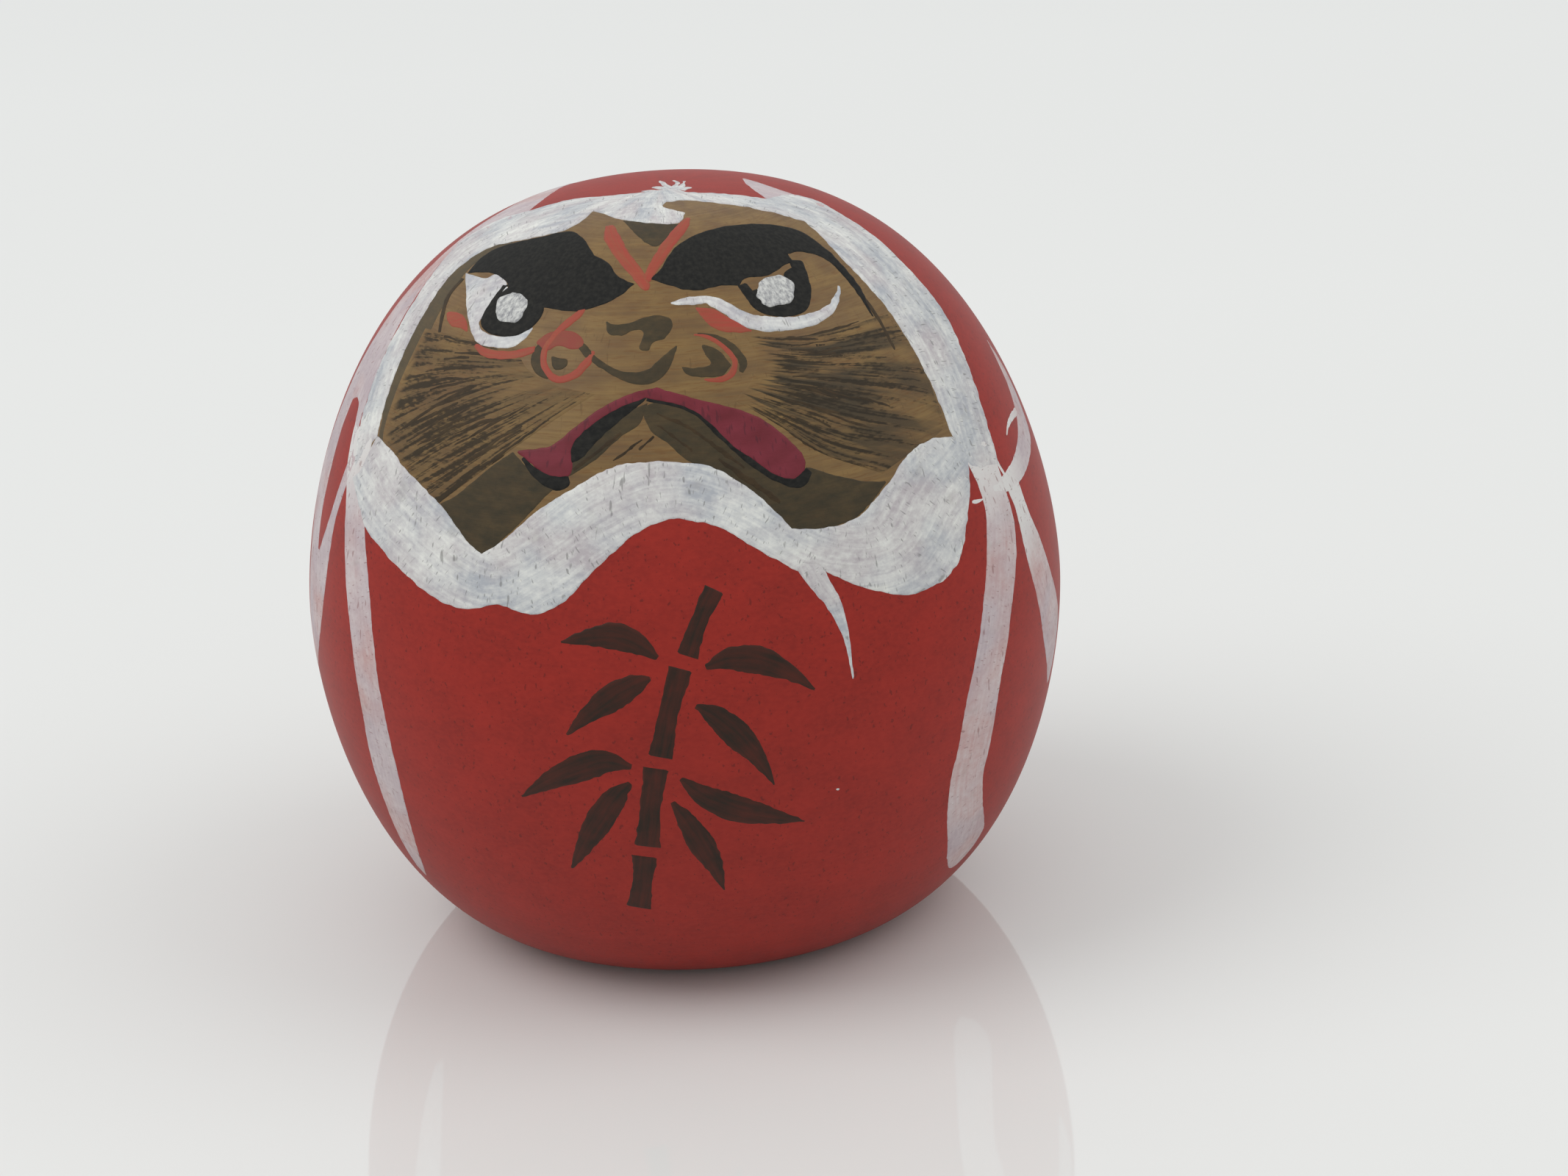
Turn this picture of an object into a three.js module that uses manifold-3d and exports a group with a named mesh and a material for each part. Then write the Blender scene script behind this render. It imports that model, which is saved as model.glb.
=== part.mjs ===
// Painted daruma doll: one turned wooden body and the paint laid on it by brush.
// Millimetres, +Z up. The face looks along -Y and the origin is the middle of the foot.
// Each paint stroke is a thin closed solid that follows the body, one layer over the next.

import * as THREE from 'three';
import { mergeVertices } from 'three/addons/utils/BufferGeometryUtils.js';
import Module from 'manifold-3d';

const wasm = await Module();
wasm.setup();

// ---- driving dimensions ----

const BODY_RADIUS = 25.0;          // at the widest ring
const BODY_HEIGHT = 49.2;
const WIDEST_HEIGHT = 22.2;
const FOOT_RADIUS = 11.5;          // outer edge of the flat foot
const HOLLOW_RADIUS = 9.5;         // the foot is undercut inside this, so that it stands steady
const HOLLOW_DEPTH = 0.5;

// The body's section is two superellipse quarters that meet at the widest ring.
const LOWER_SIDE_POWER = 0.966;
const LOWER_RISE_POWER = 1.07;
const UPPER_SIDE_POWER = 0.752;
const UPPER_RISE_POWER = 1.143;

const LOWER_STEPS = 6;
const UPPER_STEPS = 9;
const TURN_STEPS = 48;

const PAINT_START = 0.8;           // height of the red paint's lower edge
const FIRST_GAP = 0.1;             // from the wood to the first paint layer
const LAYER_PITCH = 0.2;
const PAINT_THICKNESS = 0.12;

const QUARTER = Math.PI / 2;
const BODY_MIDDLE = new THREE.Vector3(0, 0, 24);
const DRAWING_REACH = 40;          // how far a drawing's outline is pushed out from the middle

// ---- colours ----

const WOOD = 0x9a7a4e;
const VERMILION = 0xb4322a;
const CHALK_WHITE = 0xd9d6d6;
const LAMP_BLACK = 0x2c2b29;
const OLIVE_WASH = 0x5a5040;
const CRIMSON = 0x96324e;
const BRIGHT_RED = 0xc05040;
const BROWN_INK = 0x3c2c1e;

// ---- the body's section ----

// A point of the lower quarter: turn runs from 0 at the foot to 1 at the widest ring.
function lowerPoint(turn) {
  const angle = QUARTER * (1 - turn);
  const side = Math.cos(angle) ** LOWER_SIDE_POWER;
  const rise = 1 - Math.sin(angle) ** LOWER_RISE_POWER;
  return new THREE.Vector2(FOOT_RADIUS + (BODY_RADIUS - FOOT_RADIUS) * side, WIDEST_HEIGHT * rise);
}

// A point of the upper quarter: turn runs from 0 at the widest ring to 1 at the crown.
function upperPoint(turn) {
  const angle = QUARTER * turn;
  const side = Math.cos(angle) ** UPPER_SIDE_POWER;
  const rise = Math.sin(angle) ** UPPER_RISE_POWER;
  return new THREE.Vector2(BODY_RADIUS * side, WIDEST_HEIGHT + (BODY_HEIGHT - WIDEST_HEIGHT) * rise);
}

function sectionPoints() {
  const points = [];
  for (let step = 0; step < LOWER_STEPS; step += 1) {
    points.push(lowerPoint(step / LOWER_STEPS));
  }
  for (let step = 0; step < UPPER_STEPS; step += 1) {
    points.push(upperPoint(step / UPPER_STEPS));
  }
  return points;
}

// The section pushed out along its normals, closed to the axis at both ends.
function offsetSection(offset) {
  const section = [...sectionPoints(), new THREE.Vector2(0, BODY_HEIGHT)];
  const above = [];
  for (let index = 1; index < section.length - 1; index += 1) {
    const along = section[index + 1].clone().sub(section[index - 1]).normalize();
    const outward = new THREE.Vector2(along.y, -along.x);
    above.push(section[index].clone().addScaledVector(outward, offset));
  }
  return [
    new THREE.Vector2(0, PAINT_START),
    new THREE.Vector2(startRadius(section, offset), PAINT_START),
    ...above.filter((point) => point.y > PAINT_START),
    new THREE.Vector2(0, BODY_HEIGHT + offset),
  ];
}

// The radius of the pushed-out section at the paint's lower edge.
function startRadius([foot, next], offset) {
  const part = (PAINT_START - foot.y) / (next.y - foot.y);
  return THREE.MathUtils.lerp(foot.x, next.x, part) + offset;
}

// ---- solids ----

function turned(points) {
  const geometry = new THREE.LatheGeometry(points, TURN_STEPS);
  geometry.rotateX(QUARTER);
  return geometry;
}

function toSolid(geometry) {
  const bare = geometry.clone();
  bare.deleteAttribute('normal');
  bare.deleteAttribute('uv');
  const merged = mergeVertices(bare, 1e-4);
  const mesh = new wasm.Mesh({
    numProp: 3,
    vertProperties: new Float32Array(merged.attributes.position.array),
    triVerts: new Uint32Array(merged.index.array),
  });
  mesh.merge();
  return new wasm.Manifold(mesh);
}

function toGeometry(solid) {
  const mesh = solid.getMesh();
  const geometry = new THREE.BufferGeometry();
  geometry.setAttribute('position', new THREE.BufferAttribute(mesh.vertProperties, 3));
  geometry.setIndex(new THREE.BufferAttribute(mesh.triVerts, 1));
  geometry.computeVertexNormals();
  return geometry;
}

// A paint layer over the whole body, which every stroke of that layer is cut from.
const layers = new Map();
function paintLayer(level) {
  if (!layers.has(level)) {
    const inner = FIRST_GAP + LAYER_PITCH * level;
    const outside = toSolid(turned(offsetSection(inner + PAINT_THICKNESS)));
    const inside = toSolid(turned(offsetSection(inner)));
    layers.set(level, outside.subtract(inside));
  }
  return layers.get(level);
}

// ---- drawings: flat outlines seen square on from a direction round the body ----

// Azimuth turns from the face towards +X; elevation lifts the eye above the horizon.
function drawing(azimuth, elevation) {
  const turn = THREE.MathUtils.degToRad(azimuth);
  const lift = THREE.MathUtils.degToRad(elevation);
  const across = new THREE.Vector3(Math.cos(turn), Math.sin(turn), 0);
  const outward = new THREE.Vector3(
    Math.sin(turn) * Math.cos(lift),
    -Math.cos(turn) * Math.cos(lift),
    Math.sin(lift),
  );
  const upward = outward.clone().cross(across);
  return new THREE.Matrix4().makeBasis(across, upward, outward).setPosition(BODY_MIDDLE);
}

const FACE = drawing(0, 35);
const BELLY = drawing(0, 0);
const LEFT_SIDE = drawing(-60, 0);
const RIGHT_SIDE = drawing(60, 0);
const BACK = drawing(180, 20);

function pushedOut(view, shape) {
  const geometry = new THREE.ExtrudeGeometry(shape, {
    depth: DRAWING_REACH,
    bevelEnabled: false,
    curveSegments: 1,
  });
  geometry.applyMatrix4(view);
  return toSolid(geometry);
}

function smoothThrough(points, steps) {
  const places = points.map(([across, up]) => new THREE.Vector2(across, up));
  return new THREE.SplineCurve(places).getPoints(steps);
}

// An outline made of runs: a run of two points is straight, a longer one is a smooth curve.
function outline(...runs) {
  const points = [];
  for (const run of runs) {
    const steps = run.length === 2 ? 1 : run.length;
    const places = smoothThrough(run, steps);
    places.pop();
    points.push(...places);
  }
  return new THREE.Shape(points);
}

// A brush stroke along points of [across, up, width].
function brushLine(points) {
  const steps = points.length + 1;
  const middle = smoothThrough(points, steps);
  const left = [];
  const right = [];
  middle.forEach((place, index) => {
    const before = middle[Math.max(index - 1, 0)];
    const after = middle[Math.min(index + 1, steps)];
    const along = after.clone().sub(before).normalize();
    const normal = new THREE.Vector2(-along.y, along.x);
    const half = widthAt(points, index / steps) / 2;
    left.push(place.clone().addScaledVector(normal, half));
    right.push(place.clone().addScaledVector(normal, -half));
  });
  return new THREE.Shape([...right, ...left.reverse()]);
}

function widthAt(points, part) {
  const place = part * (points.length - 1);
  const first = Math.min(Math.floor(place), points.length - 2);
  return THREE.MathUtils.lerp(points[first][2], points[first + 1][2], place - first);
}

function roundSpot([across, up], radius) {
  const shape = new THREE.Shape();
  const sides = 10;
  for (let side = 0; side < sides; side += 1) {
    const angle = (2 * Math.PI * side) / sides;
    const place = [across + radius * Math.cos(angle), up + radius * Math.sin(angle)];
    if (side === 0) {
      shape.moveTo(...place);
    } else {
      shape.lineTo(...place);
    }
  }
  return shape;
}

function roundRim(centre, radius, width) {
  const shape = roundSpot(centre, radius);
  shape.holes.push(roundSpot(centre, radius - width));
  return shape;
}

// ---- building ----

const daruma = new THREE.Group();

function addMesh(name, geometry, color, roughness) {
  const material = new THREE.MeshStandardMaterial({ color, roughness, metalness: 0 });
  const mesh = new THREE.Mesh(geometry, material);
  mesh.name = name;
  daruma.add(mesh);
}

function addStroke(name, view, shape, level, color) {
  addMesh(name, toGeometry(pushedOut(view, shape).intersect(paintLayer(level))), color, 0.45);
}

function addTurnedBody() {
  const points = [
    new THREE.Vector2(0, HOLLOW_DEPTH),
    new THREE.Vector2(HOLLOW_RADIUS - HOLLOW_DEPTH, HOLLOW_DEPTH),
    new THREE.Vector2(HOLLOW_RADIUS, 0),
    ...sectionPoints(),
    new THREE.Vector2(0, BODY_HEIGHT),
  ];
  addMesh('turned_wood_body', turned(points), WOOD, 0.5);
}

// The red robe covers the body except for the bare wood of the face.
function addRobeCoat() {
  const faceWindow = outline(
    [[-19.2, 3.4], [-18.2, 7], [-16.6, 11], [-14.3, 14.9], [-12, 17], [-8.6, 17.8], [-4, 18.6], [1, 19]],
    [[1, 19], [5, 18.4], [8.6, 17.8], [11, 16.4], [13.4, 13.2], [15.6, 10], [17.4, 6.4], [18.6, 2.4]],
    [[18.6, 2.4], [17, -2.5], [14.6, -5.6], [12, -6.6], [8.2, -6.4]],
    [[8.2, -6.4], [5, -4.9], [2.5, -3.3], [0, -2.8], [-2.5, -3.4], [-5.5, -5.4], [-8.6, -6.7]],
    [[-8.6, -6.7], [-11.4, -6.8], [-14, -5], [-16.5, -2], [-19.2, 3.4]],
  );
  const robe = paintLayer(0).subtract(pushedOut(FACE, faceWindow));
  addMesh('red_robe_coat', toGeometry(robe), VERMILION, 0.4);
}

function addFaceTrim() {
  const hood = outline(
    [[-18.5, 4.2], [-17.7, 6.9], [-16.4, 9.9], [-14.7, 13], [-12.3, 15.6]],
    [[-12.3, 15.6], [-10.8, 16.2], [-8.2, 16.1], [-6.1, 16.3], [-4.3, 18]],
    [[-4.3, 18], [-2.7, 16.9], [-1, 16.2], [0.8, 15.9], [1.6, 17.1]],
    [[1.6, 17.1], [0.2, 17.9], [0.4, 18.5]],
    [[0.4, 18.5], [3.4, 18.2], [7.2, 17.2], [9, 16.6]],
    [[9, 16.6], [11.6, 13], [13.6, 10.4], [15.3, 7.4], [17.5, 1.9]],
    [[17.5, 1.9], [18.6, 0.2], [20.6, 1]],
    [[20.6, 1], [19.8, 4.2], [17.6, 11.3], [13.8, 16.2], [10, 19.4]],
    [[10, 19.4], [8.3, 19.8], [6.7, 18.9], [3.4, 19.5], [0.9, 20.3]],
    [[0.9, 20.3], [-3.7, 19.9], [-8.5, 19.5], [-13.2, 18.4]],
    [[-13.2, 18.4], [-16.3, 13.5], [-19.3, 7.4], [-20.3, 2.6]],
    [[-20.3, 2.6], [-18.5, 4.2]],
  );
  addStroke('hood_trim_band', FACE, hood, 2, CHALK_WHITE);
  const collar = outline(
    [[-18.5, 4.4], [-16, 0.7], [-14.2, -1.6], [-11.7, -5.1]],
    [[-11.7, -5.1], [-8.1, -3.2], [-5.9, -2.2], [-3.3, -1.1], [-0.4, -1], [2.4, -1.4], [4.4, -2.5], [7.2, -5.1]],
    [[7.2, -5.1], [9.4, -4.9], [11.3, -4.1], [13, -2.2], [14.5, 0], [17.5, 1.9]],
    [[17.5, 1.9], [18.3, 1.2], [18.5, -0.8], [17.6, -5.6], [16.4, -7.3]],
    [[16.4, -7.3], [14.3, -8.4], [12, -8.4], [9.2, -7.6]],
    [[9.2, -7.6], [6.2, -7], [3.1, -5.2], [0, -4.5], [-2.6, -5.5], [-5.5, -7.7], [-8.4, -9.2], [-10.9, -8.2]],
    [[-10.9, -8.2], [-13.9, -7.7], [-17.9, -3.8], [-19.5, -1.2], [-20.4, 2.5]],
    [[-20.4, 2.5], [-18.5, 4.4]],
  );
  addStroke('collar_trim_band', FACE, collar, 3, CHALK_WHITE);
  const tail = [[8.2, 6.2, 1.8], [9.5, 4.4, 1.2], [10.2, 2.4, 0.6], [10.5, -0.6, 0.2]];
  addStroke('collar_tail', BELLY, brushLine(tail), 1, CHALK_WHITE);
}

function addRobeLines() {
  const leftInner = [
    [-3.6, 10.6, 1.2], [-0.6, 7.5, 1.5], [1.9, 3.7, 1.6], [3.3, -1.5, 1.5],
    [3.2, -7.6, 1.5], [2.2, -12.2, 1.3], [1, -16.4, 0.9],
  ];
  const leftOuter = [
    [-7.5, 8, 0.4], [-8.4, 4, 1], [-8.6, 0, 1.6], [-7.8, -5, 1.4], [-6.2, -10, 0.9], [-4.8, -14, 0.3],
  ];
  const rightInner = [
    [-0.3, 8.4, 1.6], [-0.8, 4.9, 2.1], [-2.1, 2.3, 2.2], [-4, -2.5, 1.9],
    [-5.3, -7.5, 2.3], [-4.8, -12, 2.5], [-3.4, -16, 2],
  ];
  const rightOuter = [[1.9, 6.6, 0.6], [3, 4.1, 1.1], [4.4, 0, 1.3], [6, -4, 1], [7, -7.5, 0.3]];
  const hook = [[3.4, 9.2, 0.4], [5.4, 10.3, 0.8], [7.6, 9.6, 1], [7.4, 7.8, 0.9], [4.6, 7.2, 0.5]];
  addStroke('robe_line_left_inner', LEFT_SIDE, brushLine(leftInner), 1, CHALK_WHITE);
  addStroke('robe_line_left_outer', LEFT_SIDE, brushLine(leftOuter), 1, CHALK_WHITE);
  addStroke('robe_line_right_inner', RIGHT_SIDE, brushLine(rightInner), 1, CHALK_WHITE);
  addStroke('robe_line_right_outer', RIGHT_SIDE, brushLine(rightOuter), 1, CHALK_WHITE);
  addStroke('robe_hook_right', RIGHT_SIDE, brushLine(hook), 1, CHALK_WHITE);
  const backLeft = [[7.4, 17.2, 1.6], [10.2, 10, 1.5], [11.4, 2, 1.5], [10.4, -6, 1.3], [8.4, -13, 0.8]];
  const backRight = [[-6.4, 17.6, 1.8], [-9.4, 10, 1.7], [-10.6, 2, 1.6], [-9.6, -6, 1.4], [-7.6, -13, 0.8]];
  addStroke('crown_line_left', BACK, brushLine(backLeft), 1, CHALK_WHITE);
  addStroke('crown_line_right', BACK, brushLine(backRight), 1, CHALK_WHITE);
}

function addBrows() {
  const left = outline(
    [[-12.4, 14.2], [-11.4, 15.2], [-10, 15.6], [-6, 15.7], [-4.1, 13.6], [-1.6, 10.9]],
    [[-1.6, 10.9], [-2.6, 10], [-5.5, 9.3], [-8, 9.9]],
    [[-8, 9.9], [-9.4, 11.6], [-10.7, 13.6], [-12.4, 14.2]],
  );
  const right = outline(
    [[-0.7, 11.2], [0.8, 13.6], [3.4, 15.4], [6.6, 16], [8.7, 15.6], [10.6, 13.9]],
    [[10.6, 13.9], [12.2, 11.5], [13.9, 6.9]],
    [[13.9, 6.9], [12.7, 9.5], [10.3, 13.1], [7.9, 13.3]],
    [[7.9, 13.3], [6.6, 11.4], [4.8, 10.5], [2.4, 10.2], [-0.7, 11.2]],
  );
  addStroke('brow_left', FACE, left, 2, LAMP_BLACK);
  addStroke('brow_right', FACE, right, 2, LAMP_BLACK);
}

function addEyes() {
  const leftWhite = outline(
    [[-12.5, 14.4], [-11.2, 13.4], [-9.9, 12.9]],
    [[-9.9, 12.9], [-10.4, 10.6], [-11.4, 9.5], [-10.6, 8.7], [-9.3, 8.3], [-7.8, 8.9]],
    [[-7.8, 8.9], [-9.3, 7.5], [-10.4, 7.7], [-12.1, 9.7], [-12.5, 14.4]],
  );
  addStroke('eye_white_left', FACE, leftWhite, 0, CHALK_WHITE);
  addStroke('eye_ring_left', FACE, roundRim([-9.4, 10.3], 1.9, 1), 1, LAMP_BLACK);
  addStroke('eye_dot_left', FACE, roundSpot([-9.3, 10.4], 1.15), 3, CHALK_WHITE);
  const ring = [[8.3, 12.9, 1.1], [8.8, 10, 1], [7, 8.8, 0.9], [5.4, 9.9, 0.9], [4.9, 10.7, 0.7]];
  addStroke('eye_ring_right', FACE, brushLine(ring), 1, LAMP_BLACK);
  addStroke('eye_dot_right', FACE, roundSpot([7, 10.2], 1.2), 3, CHALK_WHITE);
  const under = [[0.5, 9.3, 0.3], [2.8, 9.45, 0.7], [4.8, 8.2, 1], [7.9, 7.95, 1], [10.2, 9.4, 0.6], [10.9, 11, 0.3]];
  addStroke('under_eye_line_right', FACE, brushLine(under), 2, CHALK_WHITE);
}

function addNose() {
  const bridge = [[-3.4, 7.9, 0.9], [-1.6, 7.8, 0.7], [0, 7.9, 0.9], [-0.4, 7, 0.8], [-1.2, 6.3, 0.5]];
  const tip = [[-5.4, 7.2, 0.4], [-3.8, 5.5, 1], [-1.6, 4.3, 0.9], [0, 5, 1], [0.8, 6.2, 0.3]];
  const nostrilLeft = [[-6.6, 7.3, 0.5], [-7.7, 6.6, 0.9], [-7.6, 5.5, 0.8], [-7, 4.9, 0.3]];
  const nostrilRight = outline(
    [[1, 4.9], [2.6, 5], [2.5, 6.3]],
    [[2.5, 6.3], [3.6, 5.7], [4.1, 4.9], [2.6, 4.1], [1, 4.9]],
  );
  addStroke('nose_bridge_mark', FACE, brushLine(bridge), 0, OLIVE_WASH);
  addStroke('nose_tip_line', FACE, brushLine(tip), 0, OLIVE_WASH);
  addStroke('nostril_mark_left', FACE, brushLine(nostrilLeft), 0, OLIVE_WASH);
  addStroke('nostril_mark_right', FACE, nostrilRight, 0, OLIVE_WASH);
  const curlLeft = [[-4.7, 9.6, 0.4], [-6, 8.4, 0.6], [-7.2, 6.6, 0.5], [-6.4, 4.8, 0.5], [-4.5, 6, 0.4]];
  const curlRight = [[2.4, 6.9, 0.3], [3.7, 6.1, 0.4], [4.3, 5.2, 0.4], [3.4, 4, 0.4]];
  addStroke('nostril_curl_left', FACE, brushLine(curlLeft), 1, BRIGHT_RED);
  addStroke('nostril_curl_right', FACE, brushLine(curlRight), 1, BRIGHT_RED);
}

function addRedAccents() {
  const browLeft = [[-3.2, 16.2, 0.6], [-2.3, 13.2, 1], [-1.5, 11.6, 0.6]];
  const browRight = [[1.8, 16.4, 0.4], [0.5, 14, 0.9], [-0.6, 11.7, 0.5]];
  const cheekLeft = [[-12.9, 10.4, 0.3], [-11.4, 7.8, 0.6], [-10, 7.1, 0.7], [-8.2, 7, 0.4]];
  const eyeRight = [[2.1, 8.8, 0.3], [3.4, 8, 0.9], [5.4, 7.2, 0.3]];
  addStroke('forehead_stroke_left', FACE, brushLine(browLeft), 3, BRIGHT_RED);
  addStroke('forehead_stroke_right', FACE, brushLine(browRight), 3, BRIGHT_RED);
  addStroke('cheek_accent_left', FACE, brushLine(cheekLeft), 1, BRIGHT_RED);
  addStroke('eye_accent_right', FACE, brushLine(eyeRight), 1, BRIGHT_RED);
}

function addMouth() {
  const lip = outline(
    [[-9.3, 0.7], [-6.9, 0.7], [-3.7, 2.7], [-0.5, 3.6], [4.6, 2], [7.5, 0.1], [8.2, -1.6]],
    [[8.2, -1.6], [7.5, -2.2], [5.1, -1.1], [2.8, 0.9], [-1.1, 2.9]],
    [[-1.1, 2.9], [-3, 2.3], [-5.4, 0.8], [-6.2, -1.4]],
    [[-6.2, -1.4], [-7.5, -1.1], [-9.3, 0.7]],
  );
  addStroke('lip', FACE, lip, 2, CRIMSON);
  const mouth = [
    [-7.4, -1.5, 0.6], [-5, 0.2, 0.9], [-1.1, 2.7, 0.4], [3, 0.5, 0.6], [5.2, -1.5, 0.5], [8, -2.3, 0.3],
  ];
  addStroke('mouth_line', FACE, brushLine(mouth), 1, LAMP_BLACK);
}

function addWashes() {
  const beardLeft = outline(
    [[-14.3, -1.5], [-11.8, -0.5], [-9.4, 0.7]],
    [[-9.4, 0.7], [-8.4, -0.7], [-6.1, -1.6]],
    [[-6.1, -1.6], [-8.3, -3.1], [-11.7, -5.2]],
    [[-11.7, -5.2], [-14.3, -1.5]],
  );
  const beardRight = outline(
    [[-1.2, 2.2], [1.9, 1.3], [4.4, -1.2], [7.9, -2.2], [8.5, -1.3]],
    [[8.5, -1.3], [11.6, -1.9], [13.3, -1.7]],
    [[13.3, -1.7], [11.1, -4.3], [7.2, -5.3]],
    [[7.2, -5.3], [3.6, -2.4], [0.9, -0.9], [-1.2, 2.2]],
  );
  const forehead = outline(
    [[-2.5, 16.8], [1.3, 15.9]],
    [[1.3, 15.9], [0.6, 14.8], [-0.4, 13.9], [-1.4, 14.9], [-2.5, 16.8]],
  );
  const temple = outline(
    [[-18, 4.3], [-16.2, 9.6], [-13.6, 14.2]],
    [[-13.6, 14.2], [-13.9, 12.3]],
    [[-13.9, 12.3], [-16.1, 7.6], [-17.4, 3.4]],
    [[-17.4, 3.4], [-18, 4.3]],
  );
  addStroke('beard_wash_left', FACE, beardLeft, 0, OLIVE_WASH);
  addStroke('beard_wash_right', FACE, beardRight, 0, OLIVE_WASH);
  addStroke('forehead_wash', FACE, forehead, 0, OLIVE_WASH);
  addStroke('temple_wash', FACE, temple, 0, OLIVE_WASH);
}

// Dry dark strokes that spread from the nose over each cheek.
function addCheekStrokes() {
  const left = [
    [[-14.8, 8.2, 0.4], [-12.4, 7, 0.7], [-9.2, 6.2, 0.3]],
    [[-16.4, 5.8, 0.4], [-13, 5.7, 0.7], [-9, 5.2, 0.3]],
    [[-16.8, 3.7, 0.4], [-13, 4.2, 0.7], [-8.4, 4.7, 0.3]],
    [[-16, 1.9, 0.4], [-12.5, 2.8, 0.7], [-7.2, 4.2, 0.3]],
    [[-15.2, 0.2, 0.4], [-12, 1.2, 0.7], [-7.4, 2.9, 0.3]],
  ];
  const right = [
    [[5.8, 6.4, 0.4], [9, 6.2, 0.8], [13.6, 8.2, 0.3]],
    [[5.8, 5.2, 0.4], [9.5, 5.1, 0.8], [14.8, 6.4, 0.3]],
    [[5.8, 3.9, 0.4], [9.5, 3.7, 0.8], [15.4, 4, 0.3]],
    [[6, 2.7, 0.4], [9.2, 2, 0.8], [14.8, 2, 0.3]],
    [[7.6, 1, 0.4], [9.8, 0.2, 0.7], [13, -0.5, 0.3]],
  ];
  left.forEach((points, index) => {
    addStroke(`cheek_stroke_left_${index + 1}`, FACE, brushLine(points), 0, OLIVE_WASH);
  });
  right.forEach((points, index) => {
    addStroke(`cheek_stroke_right_${index + 1}`, FACE, brushLine(points), 0, OLIVE_WASH);
  });
}

// A bamboo sprig in brown ink on the belly: jointed stem pieces and tapering leaves.
function addBambooSprig() {
  const stem = [
    [[-3.6, -15.6, 1.9], [-3.2, -13.4, 1.5], [-2.9, -11.2, 1.9]],
    [[-2.7, -10.6, 1.9], [-2.3, -7.6, 1.5], [-1.8, -4.8, 1.9]],
    [[-1.5, -4.2, 1.8], [-0.8, -1.2, 1.4], [0.1, 1.6, 1.8]],
    [[0.5, 2.2, 1.6], [1.3, 4.2, 1.2], [2.4, 6.2, 1.5]],
  ];
  stem.forEach((points, index) => {
    addStroke(`bamboo_stem_${index + 1}`, BELLY, brushLine(points), 1, BROWN_INK);
  });
  const leaves = [
    [[-3.4, -4.7, 0.3], [-6.6, -5, 2.2], [-10.4, -7.4, 0.2]],
    [[-3.6, -6, 0.3], [-5.5, -8.6, 2.1], [-7.6, -12.6, 0.2]],
    [[-1.4, 2.4, 0.3], [-3.8, 3.6, 2], [-7.2, 3.1, 0.2]],
    [[-1.9, 0.9, 0.3], [-4.2, -0.2, 2], [-7.2, -2.8, 0.2]],
    [[1.7, 1.6, 0.3], [4.8, 1.6, 2.1], [8.2, -0.8, 0.2]],
    [[0.9, -0.9, 0.3], [3.3, -3, 2.1], [5.4, -6.8, 0.2]],
    [[-0.2, -5.8, 0.3], [2.8, -8, 2.3], [7.2, -9.7, 0.2]],
    [[-0.9, -7.4, 0.3], [0.7, -10.6, 2], [1.9, -14.4, 0.2]],
  ];
  leaves.forEach((points, index) => {
    addStroke(`bamboo_leaf_${index + 1}`, BELLY, brushLine(points), 1, BROWN_INK);
  });
}

addTurnedBody();
addRobeCoat();
addFaceTrim();
addRobeLines();
addBrows();
addEyes();
addNose();
addRedAccents();
addMouth();
addWashes();
addCheekStrokes();
addBambooSprig();

export default daruma;
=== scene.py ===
"""A hand-painted wooden daruma doll: one turned block of wood under thin brushed layers of paint."""

import math

import bpy
import numpy as np
from mathutils import Matrix, Vector
from mathutils.geometry import delaunay_2d_cdt


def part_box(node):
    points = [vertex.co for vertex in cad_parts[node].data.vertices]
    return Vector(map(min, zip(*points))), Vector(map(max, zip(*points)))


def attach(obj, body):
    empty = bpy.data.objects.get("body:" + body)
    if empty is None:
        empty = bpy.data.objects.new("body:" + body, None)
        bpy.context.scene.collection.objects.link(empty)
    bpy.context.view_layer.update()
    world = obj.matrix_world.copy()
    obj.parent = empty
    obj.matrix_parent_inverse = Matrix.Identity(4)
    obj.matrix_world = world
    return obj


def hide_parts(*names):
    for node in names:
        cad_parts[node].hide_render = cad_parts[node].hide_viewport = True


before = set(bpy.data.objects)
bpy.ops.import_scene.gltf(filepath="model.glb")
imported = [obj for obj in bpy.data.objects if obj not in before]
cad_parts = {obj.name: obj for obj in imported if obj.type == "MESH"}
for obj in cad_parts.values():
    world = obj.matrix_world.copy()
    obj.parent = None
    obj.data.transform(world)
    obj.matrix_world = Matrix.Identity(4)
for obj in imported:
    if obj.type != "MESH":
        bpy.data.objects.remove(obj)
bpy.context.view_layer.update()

# ---- sizes, in millimetres ----

MM = 0.001
wood_low, wood_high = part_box("turned_wood_body")
BODY_RADIUS = (wood_high.x - wood_low.x) / 2 / MM
BODY_HEIGHT = (wood_high.z - wood_low.z) / MM
WIDEST_HEIGHT = 0.4512 * BODY_HEIGHT
FOOT_RADIUS = 0.46 * BODY_RADIUS
HOLLOW_RADIUS = 0.38 * BODY_RADIUS
HOLLOW_DEPTH = 0.5
CENTRE_RADIUS = 0.02
MIDDLE = np.array([0.0, 0.0, 24.0])
REACH = 40.0
HALVINGS = 30

# Powers of the section's two quarters, across and along the axis.
UPPER_ACROSS = 2.66
UPPER_RISE = 1.75
LOWER_ACROSS = 2.07
LOWER_DROP = 1.87

TURN_STEPS = 288
SECTION_STEPS = 170

# The red coat: its lowest edge, its top face over the wood and in the face window, its inner face.
COAT_START = 0.25
COAT_THICK = 0.03
COAT_UNDER = -0.12
COAT_INSIDE = -0.25

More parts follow.
